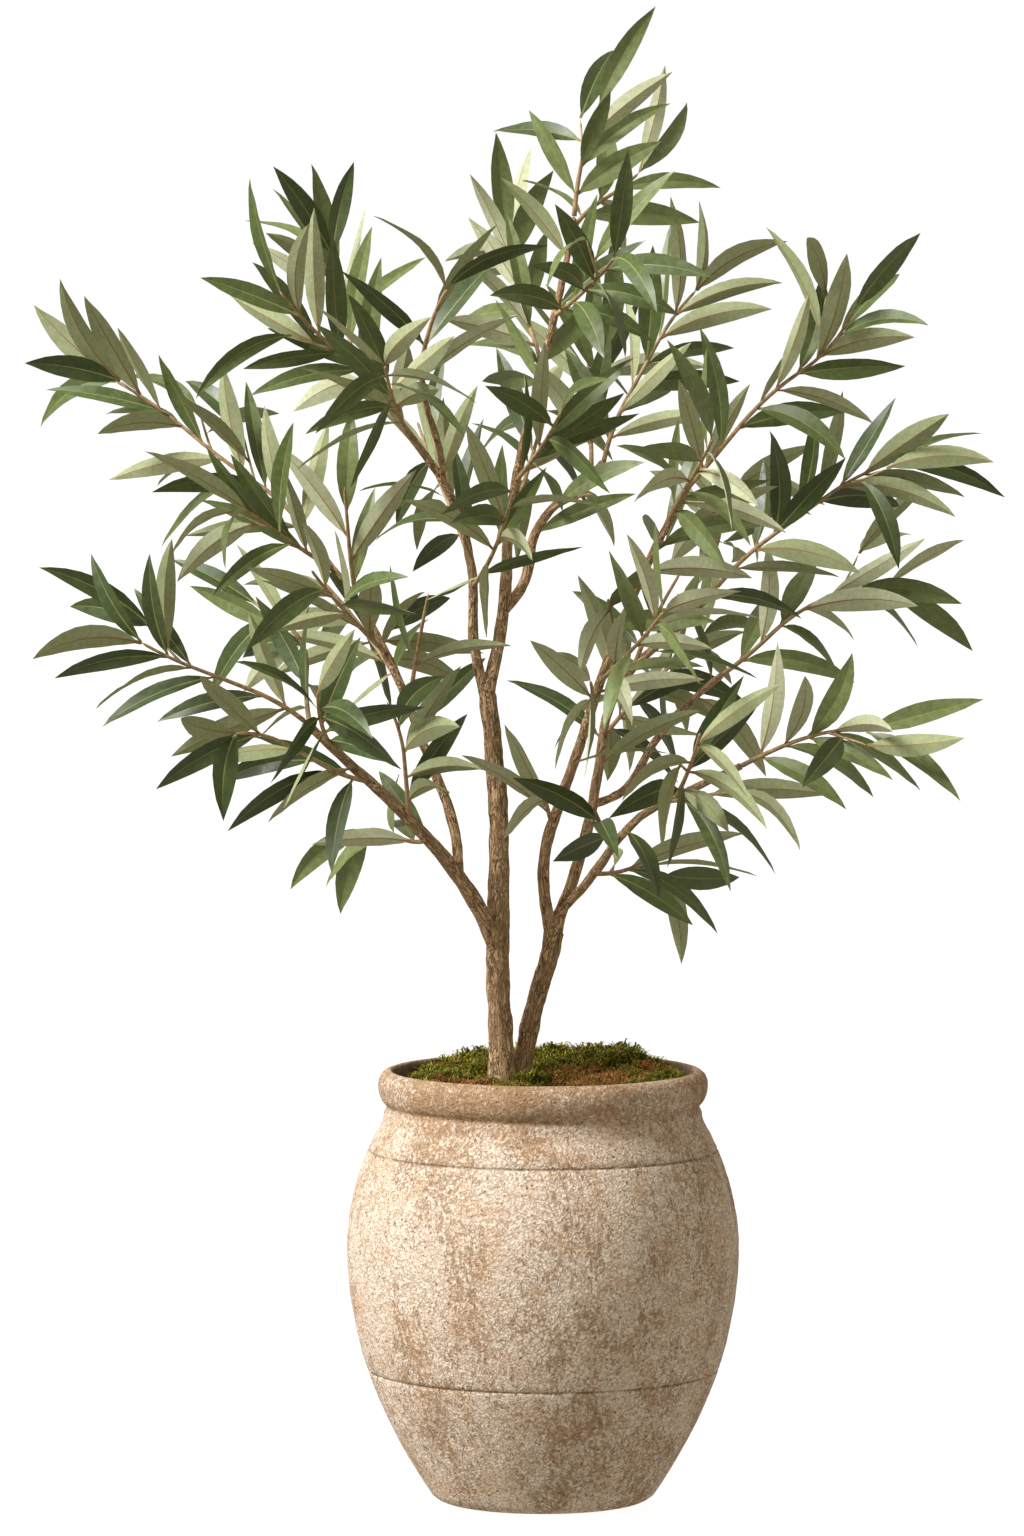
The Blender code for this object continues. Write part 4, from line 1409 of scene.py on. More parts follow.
@dataclass
class Crown:
    """Shoots and leaves, grown mass by mass by the seeded rule.

    Lengths are in metres, angles in degrees, search in radians, and the rest
    are shares. Most pairs are ranges to draw from. The girths and the spread
    hold the values at a line's foot and tip, and upward a mean and its
    deviation. turned_front is the chance that a leaf faces forward, on the
    back and on the front of a shoot, side_droop how much a leaf hangs on its
    lower and on its upper side, and the seed steps part one mass's or bough's
    draws from the next one's.
    """

    wood: Wood
    pattern: LeafPattern
    taken: Taken = field(default_factory=Taken)
    mass_seed_step: int = 31
    bough_seed_step: int = 7
    stem_girth: Range = (0.0023, 0.0013)
    stem_sides: int = 8
    stem_rings: float = 0.006
    twig_girth: Range = (0.0015, 0.0009)
    twig_sides: int = 6
    twig_rings: float = 0.008
    twig_length: float = 0.050
    twig_range: Range = (0.7, 1.2)
    twig_first: float = 0.25
    twig_zone: float = 0.60
    twig_forward: float = 0.80
    twig_outward: float = 0.60
    twig_rise: float = 0.15
    twig_upright: float = 0.75
    long_stem: float = 0.14
    node_pitch: float = 0.025
    bough_pitch: float = 0.0228
    first_pair: float = 0.3
    last_gap: float = 0.5
    pair_turn: float = 40.0
    pair_stray: float = 14.0
    search: float = 0.28
    spread: Range = (44.0, 30.0)
    stray: Range = (-13.0, 15.0)
    bough_spread: float = 46.0
    fan: tuple[float, ...] = (6.0, 26.0)
    fan_place: float = 0.995
    fan_step: float = 0.004
    bare_foot: float = 0.012
    bare_range: Range = (0.08, 0.35)
    bare_twig: float = 0.25
    bare_bough: float = 0.40
    poses: int = 7
    fewest: int = 2
    flatness: float = 0.35
    root_share: float = 0.4
    tested_from: int = 4
    tested_share: float = 0.4
    turned_front: Range = (0.68, 0.48)
    sideways: float = 0.50
    sideways_deep: float = 0.45
    upward: Range = (0.35, 0.50)
    least_face: float = 0.05
    droop: Range = (0.10, 1.00)
    level_droop: float = 1.12
    side_droop: Range = (1.35, 0.8)
    recurve: Range = (0.05, 1.05)
    arch: float = 0.35
    twist: float = 0.6
    lengths: Range = (0.90, 1.16)
    widths: Range = (0.84, 1.24)

    def __post_init__(self) -> None:
        """Work out every mass's stem and its room."""
        self.stems: dict[str, Line] = {}
        for mass in MASSES:
            foot = self.wood.lines[mass.parent].place(mass.at)[0]
            self.stems[mass.name] = Line(foot, mass.run, mass.lean, mass.back, self.stem_girth)
        self.space = Space(self.stems, self.wood.lines)
        self.twigs: list[Line] = []
        self.sprays: list[Spray] = []

    def grow(self) -> None:
        """Grow the twigs and leaves of every mass, then the leaves of the boughs."""
        for number, mass in enumerate(MASSES):
            draw = random.Random(SEED + self.mass_seed_step * number)
            stem = self.stems[mass.name]
            twigs = self.side_twigs(mass, stem, draw)
            self.clothe(mass.name, stem, draw, self.bare_foot / stem.length)
            for twig in twigs:
                if self.clothe(mass.name, twig, draw, self.bare_twig) >= self.fewest:
                    self.twigs.append(twig)
        for number, limb in enumerate(BOUGHS):
            draw = random.Random(SEED + self.bough_seed_step * number)
            self.clothe_bough(self.wood.lines[limb.name], draw)

    def side_twigs(self, mass: Mass, stem: Line, draw: random.Random) -> list[Line]:
        """Grow a mass's side twigs, each where one of a few turns finds room.

        Args:
            mass: The mass, which gives their number.
            stem: Its stem.
            draw: The mass's random draws.

        Returns:
            The twigs' lines.
        """
        twigs = []
        count = mass.twigs + (1 if stem.length > self.long_stem else 0)
        for number in range(count):
            share = self.twig_first + self.twig_zone * (number + 0.5) / count
            turn = number * GOLDEN_TURN + draw.uniform(0, math.tau)
            for attempt in range(self.poses - 1):
                spot, along = stem.place(share)
                way = along * self.twig_forward + outward(along, turn + attempt) * self.twig_outward
                way = (way + Vector((0, 0, self.twig_rise))).normalized()
                twig = self.twig_at(spot, way, self.twig_length * draw.uniform(*self.twig_range))
                inner = twig.samples()[0]
                if self.space.holds(mass.name, inner[len(inner) // 3:]):
                    twigs.append(twig)
                    break
        return twigs

    def twig_at(self, foot: Vector, way: Vector, length: float) -> Line:
        """Lay a side twig, rising a little more upright towards its tip.

        Args:
            foot: Where it leaves the stem.
            way: Its direction there.
            length: Its length.

        Returns:
            The line.
        """
        lean = math.degrees(math.atan2(way.x, way.z))
        tip = lean * self.twig_upright if abs(lean) < 90 else lean
        flat = math.hypot(way.x, way.z)
        return Line(foot, length * flat, (lean, (lean + tip) / 2, tip), length * way.y, self.twig_girth)

    def clothe(self, name: str, line: Line, draw: random.Random, foot: float) -> int:
        """Set opposite pairs of leaves along a stem, then a fan of them at its tip.

        Args:
            name: The mass's name.
            line: The stem or twig.
            draw: The mass's random draws.
            foot: The share of the line that stays bare.

        Returns:
            The number of its leaves. A twig with fewer than the fewest is left off.
        """
        spray = Spray(draw.choice(list(Tone)))
        least, most = self.bare_range
        foot = min(max(foot, least), most)
        pairs = int(line.length * (1 - foot) / self.node_pitch)
        hand = draw.choice((-1, 1))
        for pair in range(pairs):
            share = foot + (1 - foot) * (pair + self.first_pair) / (pairs + self.last_gap)
            turn = hand * (-1) ** pair * math.radians(self.pair_turn + draw.uniform(-1, 1) * self.pair_stray)
            spread = self.spread[0] + (self.spread[1] - self.spread[0]) * share
            for side in (0.0, math.pi):
                self.add_leaf(name, spray, line, share, turn + side, spread, draw)
        turn = hand * (-1) ** pairs * math.radians(self.pair_turn)
        for number, spread in enumerate(self.fan):
            share = self.fan_place - self.fan_step * number
            self.add_leaf(name, spray, line, share, turn + number * math.pi, spread, draw)
        if len(spray.leaves) >= self.fewest or line.girth == self.stem_girth:
            self.sprays.append(spray)
        return len(spray.leaves)

    def clothe_bough(self, line: Line, draw: random.Random) -> None:
        """Set a few leaves on the outer part of a bough, in the room of the mass nearest to each.

        Args:
            line: The bough's line.
            draw: The bough's random draws.
        """
        spray = Spray(draw.choice(list(Tone)))
        count = int(line.length * (1 - self.bare_bough) / self.bough_pitch)
        for number in range(count):
            share = self.bare_bough + (1 - self.bare_bough) * (number + 0.5) / count
            spot = np.array([line.place(share)[0]])
            name = min(self.stems, key=lambda mass: nearest(spot, self.space.own[mass])[0])
            turn = number * GOLDEN_TURN + draw.random()
            self.add_leaf(name, spray, line, share, turn, self.bough_spread, draw)
        self.sprays.append(spray)

    def add_leaf(
        self,
        name: str,
        spray: Spray,
        line: Line,
        share: float,
        turn: float,
        spread: float,
        draw: random.Random,
    ) -> None:
        """Add one leaf, if one of a few poses keeps to the room and clears the others.

        Args:
            name: The mass's name.
            spray: The spray that the leaf joins.
            line: The stem or twig that carries it.
            share: Where it leaves that line, as a share of its length.
            turn: Its turn about the line, in radians.
            spread: Its angle from the line, in degrees.
            draw: The random draws.
        """
        spot, along = line.place(share)
        depth = min(1.0, abs(line.back) / line.length)
        for attempt in range(self.poses):
            out = outward(along, turn + self.search * attempt * (-1) ** attempt)
            out = Vector((out.x, out.y * (self.flatness + (1 - self.flatness) * depth), out.z)).normalized()
            angle = math.radians(spread + draw.uniform(*self.stray))
            way = (along * math.cos(angle) + out * math.sin(angle)).normalized()
            leaf = self.posed(spot + out * line.radius(share) * self.root_share, way, along, out, depth, draw)
            points, sides, _ = leaf.stations()
            rows = slice(self.tested_from, -1, 3)
            wide = sides[rows] * self.pattern.width * self.tested_share
            spots = np.concatenate([points[self.tested_from:], points[rows] + wide, points[rows] - wide])
            if self.space.holds(name, spots) and self.taken.has_room(points, self.blade(points, sides)):
                spray.leaves.append(leaf)
                return

    def blade(self, points: np.ndarray, sides: np.ndarray) -> np.ndarray:
        """Find points a little outside a leaf's edges, clear of its root.

        Args:
            points: Points down its midrib.
            sides: The side directions there.

        Returns:
            Pairs of points, one on either edge, from root to tip.
        """
        pairs = []
        for row in range(self.taken.root_free, len(points)):
            half = self.pattern.half_width(row / (len(points) - 1)) + self.taken.margin
            pairs += [points[row] - sides[row] * half, points[row] + sides[row] * half]
        return np.array(pairs)

    def posed(
        self, root: Vector, way: Vector, along: Vector, out: Vector, depth: float, draw: random.Random
    ) -> Leaf:
        """Draw a leaf's upper side, bend, twist and size.

        Args:
            root: Where it leaves the shoot.
            way: Its direction there.
            along: The shoot's direction.
            out: The direction square to the shoot on the leaf's side.
            depth: How far the shoot points to the front or back, from 0 to 1.
            draw: The random draws.

        Returns:
            The leaf, which hangs the more the flatter its shoot lies.
        """
        front = -1.0 if draw.random() < self.turned_front[0 if out.y > 0 else 1] else 1.0
        sideways = self.sideways + self.sideways_deep * depth
        aim = Vector((draw.gauss(0, sideways), front, draw.gauss(*self.upward)))
        face = aim - way * aim.dot(way)
        face = face.normalized() if face.length > self.least_face else way.orthogonal().normalized()
        hang = draw.uniform(*self.droop) * (self.level_droop - max(along.z, 0.0))
        hang *= self.side_droop[0 if out.z < 0 else 1]
        bend = Vector((0, 0, -hang)) + out * draw.uniform(*self.recurve)
        bend -= face * draw.uniform(0.0, self.arch)
        length = self.pattern.length * draw.uniform(*self.lengths)
        twist = draw.uniform(-self.twist, self.twist)
        return Leaf(root, way, face, length, bend, twist, draw.uniform(*self.widths))

    def build(self) -> None:
        """Build the shoots and the leaves, each kind of face apart."""
        self.build_shoots()
        model = self.pattern.model()
        places = coordinates(model.data)
        faces: dict[Face, list[list[int]]] = {kind: [] for kind in Face}
        for polygon in model.data.polygons:
            faces[Face(polygon.material_index)].append(list(polygon.vertices))
        bpy.data.objects.remove(model, do_unlink=True)
        every = [leaf for spray in self.sprays for leaf in spray.leaves]
        top = PlainFinish("leaf_rib_upper", (0.240, 0.240, 0.085), roughness=0.55, spread=0.1)
        below = PlainFinish("leaf_rib_under", (0.310, 0.195, 0.080), roughness=0.65, spread=0.1)
        self.build_leaves("leaf_ribs_upper", every, places, faces[Face.TOP_RIB], top)
        self.build_leaves("leaf_ribs_under", every, places, faces[Face.UNDER_RIB], below)
        for tone in Tone:
            title = tone.name.lower()
            leaves = [leaf for spray in self.sprays if spray.tone is tone for leaf in spray.leaves]
            self.build_leaves("leaf_tops_" + title, leaves, places, faces[Face.TOP], tone.top())
            self.build_leaves("leaf_undersides_" + title, leaves, places, faces[Face.UNDER], tone.below())
        log.info("%d sprays, %d twigs, %d leaves", len(self.sprays), len(self.twigs), len(every))

    def build_leaves(
        self, name: str, leaves: list[Leaf], places: np.ndarray, faces: list[list[int]], finish: PlainFinish
    ) -> None:
        """Join one kind of face of many leaves into a piece and dress it.

        Args:
            name: The piece's name.
            leaves: The leaves.
            places: The pattern's vertex places.
            faces: Its faces of that kind, as vertex numbers.
            finish: The piece's finish.
        """
        used = sorted({vertex for face in faces for vertex in face})
        place_of = {vertex: number for number, vertex in enumerate(used)}
        own = places[used]
        laid = np.concatenate([self.laid(own, leaf) for leaf in leaves])
        joined = [
            [place_of[vertex] + len(own) * index for vertex in face]
            for index in range(len(leaves))
            for face in faces
        ]
        dress(piece_of(name, laid, joined), finish.make())

    def laid(self, places: np.ndarray, leaf: Leaf) -> np.ndarray:
        """Lay the pattern along a leaf's bent midrib.

        Args:
            places: Places on the pattern.
            leaf: The leaf.

        Returns:
            The same places on the leaf.
        """
        points, sides, faces = leaf.stations()
        shares = np.clip(places[:, 1], 0, 1)
        stops = np.linspace(0, 1, len(points))

        def at(rows: np.ndarray) -> np.ndarray:
            """Return rows read at each place's share of the length."""
            return np.stack([np.interp(shares, stops, rows[:, axis]) for axis in range(3)], axis=1)

        scale = leaf.length / self.pattern.length
        return at(points) + at(sides) * places[:, :1] * leaf.broad + at(faces) * places[:, 2:] * scale

    def build_shoots(self) -> None:
        """Build the mass stems and side twigs as two joined pieces."""
        sheen = {"specular": 0.3, "scale": 160.0}
        woody = PlainFinish("shoot_bark", (0.380, 0.255, 0.135), roughness=0.75, spread=0.30, **sheen)
        green = PlainFinish("twig_bark", (0.440, 0.330, 0.170), roughness=0.70, spread=0.25, **sheen)
        stems = [Tube(line, self.stem_sides, self.stem_rings) for line in self.stems.values()]
        twigs = [Tube(line, self.twig_sides, self.twig_rings) for line in self.twigs]
        dress(self.join("shoots", stems), woody.make(), [mass.name for mass in MASSES])
        dress(self.join("twigs", twigs), green.make())

    @staticmethod
    def join(name: str, tubes: list[Tube]) -> bpy.types.Object:
        """Model several tubes and join them into one piece.

        Args:
            name: The piece's name.
            tubes: The tubes.

        Returns:
            The piece.
        """
        pieces = [tube.model(name) for tube in tubes]
        deselect()
        for piece in pieces:
            piece.select_set(True)
        bpy.context.view_layer.objects.active = pieces[0]
        bpy.ops.object.join()
        pieces[0].name = pieces[0].data.name = name
        return pieces[0]


# Jar, soil and moss


@dataclass(frozen=True)
class Jar:
    """The round-bellied jar, turned from its profile, with hand-made unevenness.

    Radii and heights are in metres, and waves are to the metre. The collar is
    the slight swelling in the neck, with its place and width as shares of the
    neck's height, and the rim's section runs through rim_arc, in degrees, from
    under its lip to its inside. The underside stays flat and smooth.
    """

    pole_gap: float = 0.001
    base_radius: float = 0.098
    belly_radius: float = 0.1773
    belly_height: float = 0.2275
    shoulder_curve: float = 2.39
    shoulder_top: float = 0.333
    neck_radius: float = 0.1410
    neck_height: float = 0.3572
    neck_curve: float = 1.6
    neck_steps: int = 8
    collar_bulge: float = 0.0016
    collar_place: float = 0.74
    collar_width: float = 0.16
    foot_round: float = 0.005
    foot_bevel: float = 0.3
    rim_top: float = 0.3893
    rim_middle: float = 0.3757
    rim_fall: float = 0.0182
    rim_crest: float = 0.1387
    rim_outer: float = 0.149
    rim_inner: float = 0.1336
    rim_arc: Range = (-68.0, 170.0)
    rim_steps: int = 24
    throat_points: tuple[Range, ...] = ((0.1331, 0.368), (0.130, 0.358), (0.130, 0.3467))
    grooves: tuple[float, float] = GROOVES
    groove_half_width: float = 0.0016
    groove_depth: float = 0.0014
    ring_spacing: float = 0.0042
    segments: int = 288
    flat_share: float = 0.9
    flat_height: float = 0.0025
    unevenness: float = 0.0007
    uneven_fall: float = 0.6
    uneven_waves: float = 22.0
    pitting: float = 0.00035
    pit_waves: float = 150.0
    fine_pit_waves: float = 330.0
    fine_pit_share: float = 0.6

    def lower_radius(self, height: float) -> float:
        """Return the outer radius below the belly."""
        below = (self.belly_height - height) / self.belly_height
        return self.belly_radius - (self.belly_radius - self.base_radius) * below**2

    def body_radius(self, height: float) -> float:
        """Work out the outer radius from the foot to the shoulder's top.

        Args:
            height: The height over the floor.

        Returns:
            The radius.
        """
        if height < self.belly_height:
            return self.lower_radius(height)
        return self.belly_radius - self.shoulder_curve * (height - self.belly_height) ** 2

    def profile(self) -> list[Range]:
        """Draw the section from the underside over the rim into the throat.

        Returns:
            Points, each a radius and a height.
        """
        points = [(self.pole_gap, 0.0), (self.base_radius - self.foot_round, 0.0)]
        bevel = self.foot_round * self.foot_bevel
        points.append((self.base_radius - bevel, bevel))
        points.append((self.lower_radius(self.foot_round), self.foot_round))
        steps = round((self.shoulder_top - self.foot_round) / self.ring_spacing)
        heights = [self.foot_round + self.ring_spacing * step for step in range(1, steps + 1)]
        for groove in self.grooves:
            heights = [h for h in heights if abs(h - groove) > 2 * self.groove_half_width]
            heights += [groove + self.groove_half_width * share for share in (-1, -0.5, 0, 0.5, 1)]
        for height in sorted(heights):
            points.append((self.body_radius(height) - self.groove_at(height), height))
        return points + self.neck() + self.rim() + list(self.throat_points)

    def groove_at(self, height: float) -> float:
        """Return how deep the grooves cut at a height."""
        gap = min(abs(height - groove) for groove in self.grooves)
        return self.groove_depth * max(0.0, 1 - gap / self.groove_half_width)

    def neck(self) -> list[Range]:
        """Draw the section from the shoulder in to the neck, as a smooth curve.

        Returns:
            Points, each a radius and a height.
        """
        foot = self.body_radius(self.shoulder_top)
        points = []
        for step in range(1, self.neck_steps + 1):
            share = step / self.neck_steps
            drop = (1 - share) ** self.neck_curve
            bulge = self.collar_bulge * math.exp(-(((share - self.collar_place) / self.collar_width) ** 2))
            height = self.shoulder_top + (self.neck_height - self.shoulder_top) * share
            points.append((self.neck_radius + (foot - self.neck_radius) * drop + bulge, height))
        return points

    def rim(self) -> list[Range]:
        """Draw the section round the rolled rim.

        Returns:
            Points, each a radius and a height.
        """
        start, end = self.rim_arc
        points = []
        for step in range(self.rim_steps + 1):
            turn = math.radians(start + (end - start) * step / self.rim_steps)
            out, up = math.cos(turn), math.sin(turn)
            half = self.rim_outer - self.rim_crest if out > 0 else self.rim_crest - self.rim_inner
            rise = self.rim_top - self.rim_middle if turn > 0 else self.rim_fall
            points.append((self.rim_crest + half * out, self.rim_middle + rise * up))
        return points

    def build(self, finish: ClayFinish) -> None:
        """Turn the jar from its profile, roughen it and dress it.

        Args:
            finish: The clay.
        """
        piece = turned("jar", self.profile(), self.segments)
        places = coordinates(piece.data)
        for number, (x, y, z) in enumerate(places):
            out = math.hypot(x, y)
            if out < self.base_radius * self.flat_share or z < self.flat_height:
                continue
            spot = Vector((x, y, z))
            lift = self.unevenness * noise.noise(spot * self.uneven_waves)
            fine = self.fine_pit_share * noise.noise(spot * self.fine_pit_waves)
            lift += self.pitting * (noise.noise(spot * self.pit_waves) + fine)
            places[number, :2] *= 1 + (lift - self.unevenness * self.uneven_fall) / out
        move_vertices(piece.data, places)
        dress(piece, finish.make(), ["pot"])


def turned(name: str, profile: list[Range], segments: int) -> bpy.types.Object:
    """Turn a profile about Z by extruding it point by point and spinning it.

    Args:
        name: The piece's name.
        profile: (radius, height) points.
        segments: Steps round the axis.

    Returns:
        The smooth piece.
    """
    deselect()
    radius, height = profile[0]
    bpy.ops.mesh.primitive_plane_add(size=HAIR, location=(radius, 0, height))
    piece = bpy.context.object
    piece.name = piece.data.name = name
    place_mesh(piece)
    with editing(piece):
        bpy.ops.mesh.merge(type="COLLAPSE")
        for (r0, h0), (r1, h1) in zip(profile, profile[1:]):
            bpy.ops.mesh.extrude_region_move(TRANSFORM_OT_translate={"value": (r1 - r0, 0, h1 - h0)})
        bpy.ops.mesh.select_all(action="SELECT")
        bpy.ops.mesh.spin(steps=segments, angle=math.tau, center=(0, 0, 0), axis=(0, 0, 1))
        bpy.ops.mesh.select_all(action="SELECT")
        bpy.ops.mesh.remove_doubles(threshold=MERGE)
        bpy.ops.mesh.normals_make_consistent(inside=False)
    smooth(piece)
    return piece


class Tuft(Enum):
    """The kinds of moss tuft, with their colours."""

    BRIGHT = (0.340, 0.330, 0.040)
    DULL = (0.115, 0.120, 0.012)
    BROWN = (0.39, 0.165, 0.055)


@dataclass
class Moss:
    """The moss: a bumpy cushion on the soil, and tufts that stand out of it.

    dead holds the dead patches as (x, y, radius), humps the places across the
    back where the tufts are taller, as (x, how much), and frond the rows of a
    tuft's frond as (reach, rise, half width), for a tuft of height 1. lift is
    the cushion's slope up to the back, lift_right how much of it also goes to
    the right, and behind_size how much taller the tufts are at the back.
    Waves, lumps and clumps are to the metre, and the levels are where each
    noise is read, so that no two match.
    """

    radius: float = 0.1294
    edge_height: float = 0.007
    crown_height: float = 0.013
    least_height: float = 0.0042
    lift: float = 0.10
    lift_right: float = 0.25
    edge_curve: int = 5
    wave_height: float = 0.003
    waves: Range = (61.0, 53.0)
    wave_turns: Range = (0.6, -0.9)
    cross_waves: Range = (118.0, -97.0)
    cross_share: float = 0.5
    lump_height: float = 0.0026
    lumps: float = 95.0
    lump_level: float = 0.0
    fine_lumps: float = 240.0
    fine_level: float = 3.0
    fine_share: float = 0.5
    rings: int = 30
    segments: int = 120
    fronds: int = 7
    frond: tuple[tuple[float, float, float], ...] = (
        (0.0, 0.0, 0.045), (0.22, 0.60, 0.055), (0.62, 0.95, 0.045), (1.0, 0.84, 0.015),
    )
    frond_stray: float = 0.4
    frond_reach: Range = (0.35, 1.25)
    frond_rise: Range = (0.45, 1.0)
    patterns: int = 12
    tufts: int = 6000
    tuft_zone: float = 0.985
    trunk_gap: float = 0.014
    sunk: float = 0.001
    sizes: Range = (0.0038, 0.0074)
    behind_size: float = 1.45
    behind_right: float = 0.05
    humps: tuple[Range, ...] = ((0.085, 0.55), (-0.080, 0.45))
    between_humps: float = 0.95
    hump_width: float = 0.035
    least_share: float = 0.75
    clump_share: float = 0.5
    stray_share: float = 0.25
    clumps: float = 60.0
    clump_level: float = 2.0
    dead: tuple[tuple[float, float, float], ...] = (
        (-0.082, -0.040, 0.040), (0.048, -0.010, 0.042), (-0.005, -0.098, 0.030), (0.095, 0.030, 0.020),
    )
    dead_ragged: float = 0.010
    dead_waves: float = 70.0
    dead_level: float = 0.4
    dead_chance: float = 0.74
    stray_dead_chance: float = 0.10
    sprig: Range = (-0.014, -0.022)
    sprig_radius: float = 0.011
    sprig_size: float = 2.3

    def height(self, x: float, y: float) -> float:
        """Work out the cushion's height over the soil.

        Args:
            x: The place to the right of the jar's axis.
            y: The place behind the axis.

        Returns:
            The height in metres.
        """
        share = min(math.hypot(x, y) / self.radius, 1.0)
        fade = 1 - share**self.edge_curve
        crown = self.edge_height + (self.crown_height - self.edge_height) * fade
        across = math.sin(self.waves[0] * x + self.wave_turns[0])
        along = math.cos(self.waves[1] * y + self.wave_turns[1])
        cross = math.sin(self.cross_waves[0] * x + self.cross_waves[1] * y)
        waves = across * along + self.cross_share * cross
        lumps = noise.noise(Vector((x, y, self.lump_level)) * self.lumps)
        lumps += self.fine_share * noise.noise(Vector((x, y, self.fine_level)) * self.fine_lumps)
        bumps = (self.wave_height * waves + self.lump_height * lumps) * fade
        return max(self.least_height, crown + self.lift * (y + self.lift_right * x) + bumps)

    def build(self) -> None:
        """Build the cushion and the tufts."""
        deselect()
        bpy.ops.mesh.primitive_circle_add(
            vertices=self.segments, radius=self.radius, fill_type="NGON", location=(0, 0, SOIL_LEVEL)
        )
        piece = bpy.context.object
        piece.name = piece.data.name = "moss_cushion"
        place_mesh(piece)
        for ring in range(self.rings - 1):
            self.inset(piece, ring)
        with editing(piece, lambda co: math.hypot(co.x, co.y) < self.radius / self.rings + HAIR):
            bpy.ops.mesh.poke()
        places = coordinates(piece.data)
        places[:, 2] += [self.height(x, y) for x, y in places[:, :2]]
        move_vertices(piece.data, places)
        smooth(piece)
        dress(piece, MossFinish().make(), ["moss_bed"])
        self.build_tufts()

    def inset(self, piece: bpy.types.Object, ring: int) -> None:
        """Cut one more ring inside the middle face.

        Args:
            piece: The cushion.
            ring: How many rings it has.
        """
        inner = self.radius * (1 - ring / self.rings)
        with editing(piece, lambda co: math.hypot(co.x, co.y) < inner + HAIR):
            bpy.ops.mesh.inset(thickness=self.radius / self.rings)

    def tuft(self, draw: random.Random) -> tuple[np.ndarray, np.ndarray]:
        """Make one tuft of curved fronds, each a narrow strip of three faces.

        Args:
            draw: The moss's random draws.

        Returns:
            The vertex places and the faces.
        """
        places, faces = [], []
        for frond in range(self.fronds):
            turn = frond * GOLDEN_TURN + draw.uniform(-self.frond_stray, self.frond_stray)
            out = np.array([math.cos(turn), math.sin(turn), 0.0])
            side = np.array([-out[1], out[0], 0.0])
            spread = draw.uniform(*self.frond_reach)
            tall = draw.uniform(*self.frond_rise)
            for row, (reach, rise, half) in enumerate(self.frond):
                middle = out * reach * spread + np.array([0, 0, rise * tall])
                places += [middle - side * half, middle + side * half]
                if row:
                    low = len(places) - 4
                    faces.append((low, low + 1, low + 3, low + 2))
        return np.array(places), np.array(faces)

    def size(self, x: float, y: float, draw: random.Random) -> float:
        """Draw a tuft's height, which is more at the back.

        Args:
            x: The tuft's place to the right of the jar's axis.
            y: Its place behind the axis.
            draw: The moss's random draws.

        Returns:
            The height in metres.
        """
        behind = max(0.0, (y + self.behind_right * x) / self.radius)
        hump = self.between_humps
        for middle, more in self.humps:
            hump += more * math.exp(-(((x - middle) / self.hump_width) ** 2))
        size = draw.uniform(*self.sizes) * (1 + self.behind_size * (behind * hump) ** 2)
        clump = noise.noise(Vector((x, y, self.clump_level)) * self.clumps)
        share = self.least_share + self.clump_share * draw.random() * clump
        return size * (share + self.stray_share * draw.random())

    def is_dead(self, x: float, y: float, draw: random.Random) -> bool:
        """Tell whether a tuft is a dead brown one, as most are in the dead patches.

        Args:
            x: The tuft's place to the right of the jar's axis.
            y: Its place behind the axis.
            draw: The moss's random draws.

        Returns:
            True for a dead one.
        """
        ragged = self.dead_ragged * noise.noise(Vector((x, y, self.dead_level)) * self.dead_waves)
        inside = any(math.hypot(x - px, y - py) + ragged < radius for px, py, radius in self.dead)
        return draw.random() < (self.dead_chance if inside else self.stray_dead_chance)

    def build_tufts(self) -> None:
        """Scatter tufts of three kinds over the cushion, with a tall sprig near the stems."""
        draw = random.Random(SEED)
        groups = {kind: [] for kind in Tuft}
        patterns = [self.tuft(draw) for _ in range(self.patterns)]
        for _ in range(self.tufts):
            share, turn = math.sqrt(draw.random()) * self.tuft_zone, draw.uniform(0, math.tau)
            x, y = self.radius * share * math.cos(turn), self.radius * share * math.sin(turn)
            if math.hypot(x - TRUNK_FEET["trunk"][0], y) < self.trunk_gap:
                continue
            size = self.size(x, y, draw)
            dead = self.is_dead(x, y, draw)
            kind = Tuft.BROWN if dead else draw.choice((Tuft.BRIGHT, Tuft.DULL, Tuft.DULL))
            places, faces = draw.choice(patterns)
            spin = draw.uniform(0, math.tau)
            cos, sin = math.cos(spin), math.sin(spin)
            spun = np.array([[cos, -sin, 0], [sin, cos, 0], [0, 0, 1]])
            foot = np.array([x, y, SOIL_LEVEL + self.height(x, y) - self.sunk])
            if math.hypot(x - self.sprig[0], y - self.sprig[1]) < self.sprig_radius:
                size *= self.sprig_size
                kind = Tuft.DULL if kind is Tuft.BROWN else kind
            groups[kind].append((places @ spun.T * size + foot, faces))
        for kind, tufts in groups.items():
            self.join_tufts(kind, tufts)

    @staticmethod
    def join_tufts(kind: Tuft, tufts: list[tuple[np.ndarray, np.ndarray]]) -> None:
        """Join the tufts of a kind into one piece and dress it.

        Args:
            kind: The kind.
            tufts: The places and faces of each tuft.
        """
        title = kind.name.lower()
        count = len(tufts[0][0])
        places = np.concatenate([places for places, _ in tufts])
        faces = np.concatenate([faces + count * index for index, (_, faces) in enumerate(tufts)]).tolist()
        finish = PlainFinish(
            "moss_" + title, kind.value, roughness=0.9, specular=0.15, spread=0.35, scale=300.0
        )
        dress(piece_of("moss_tufts_" + title, places, faces), finish.make())


# Studio


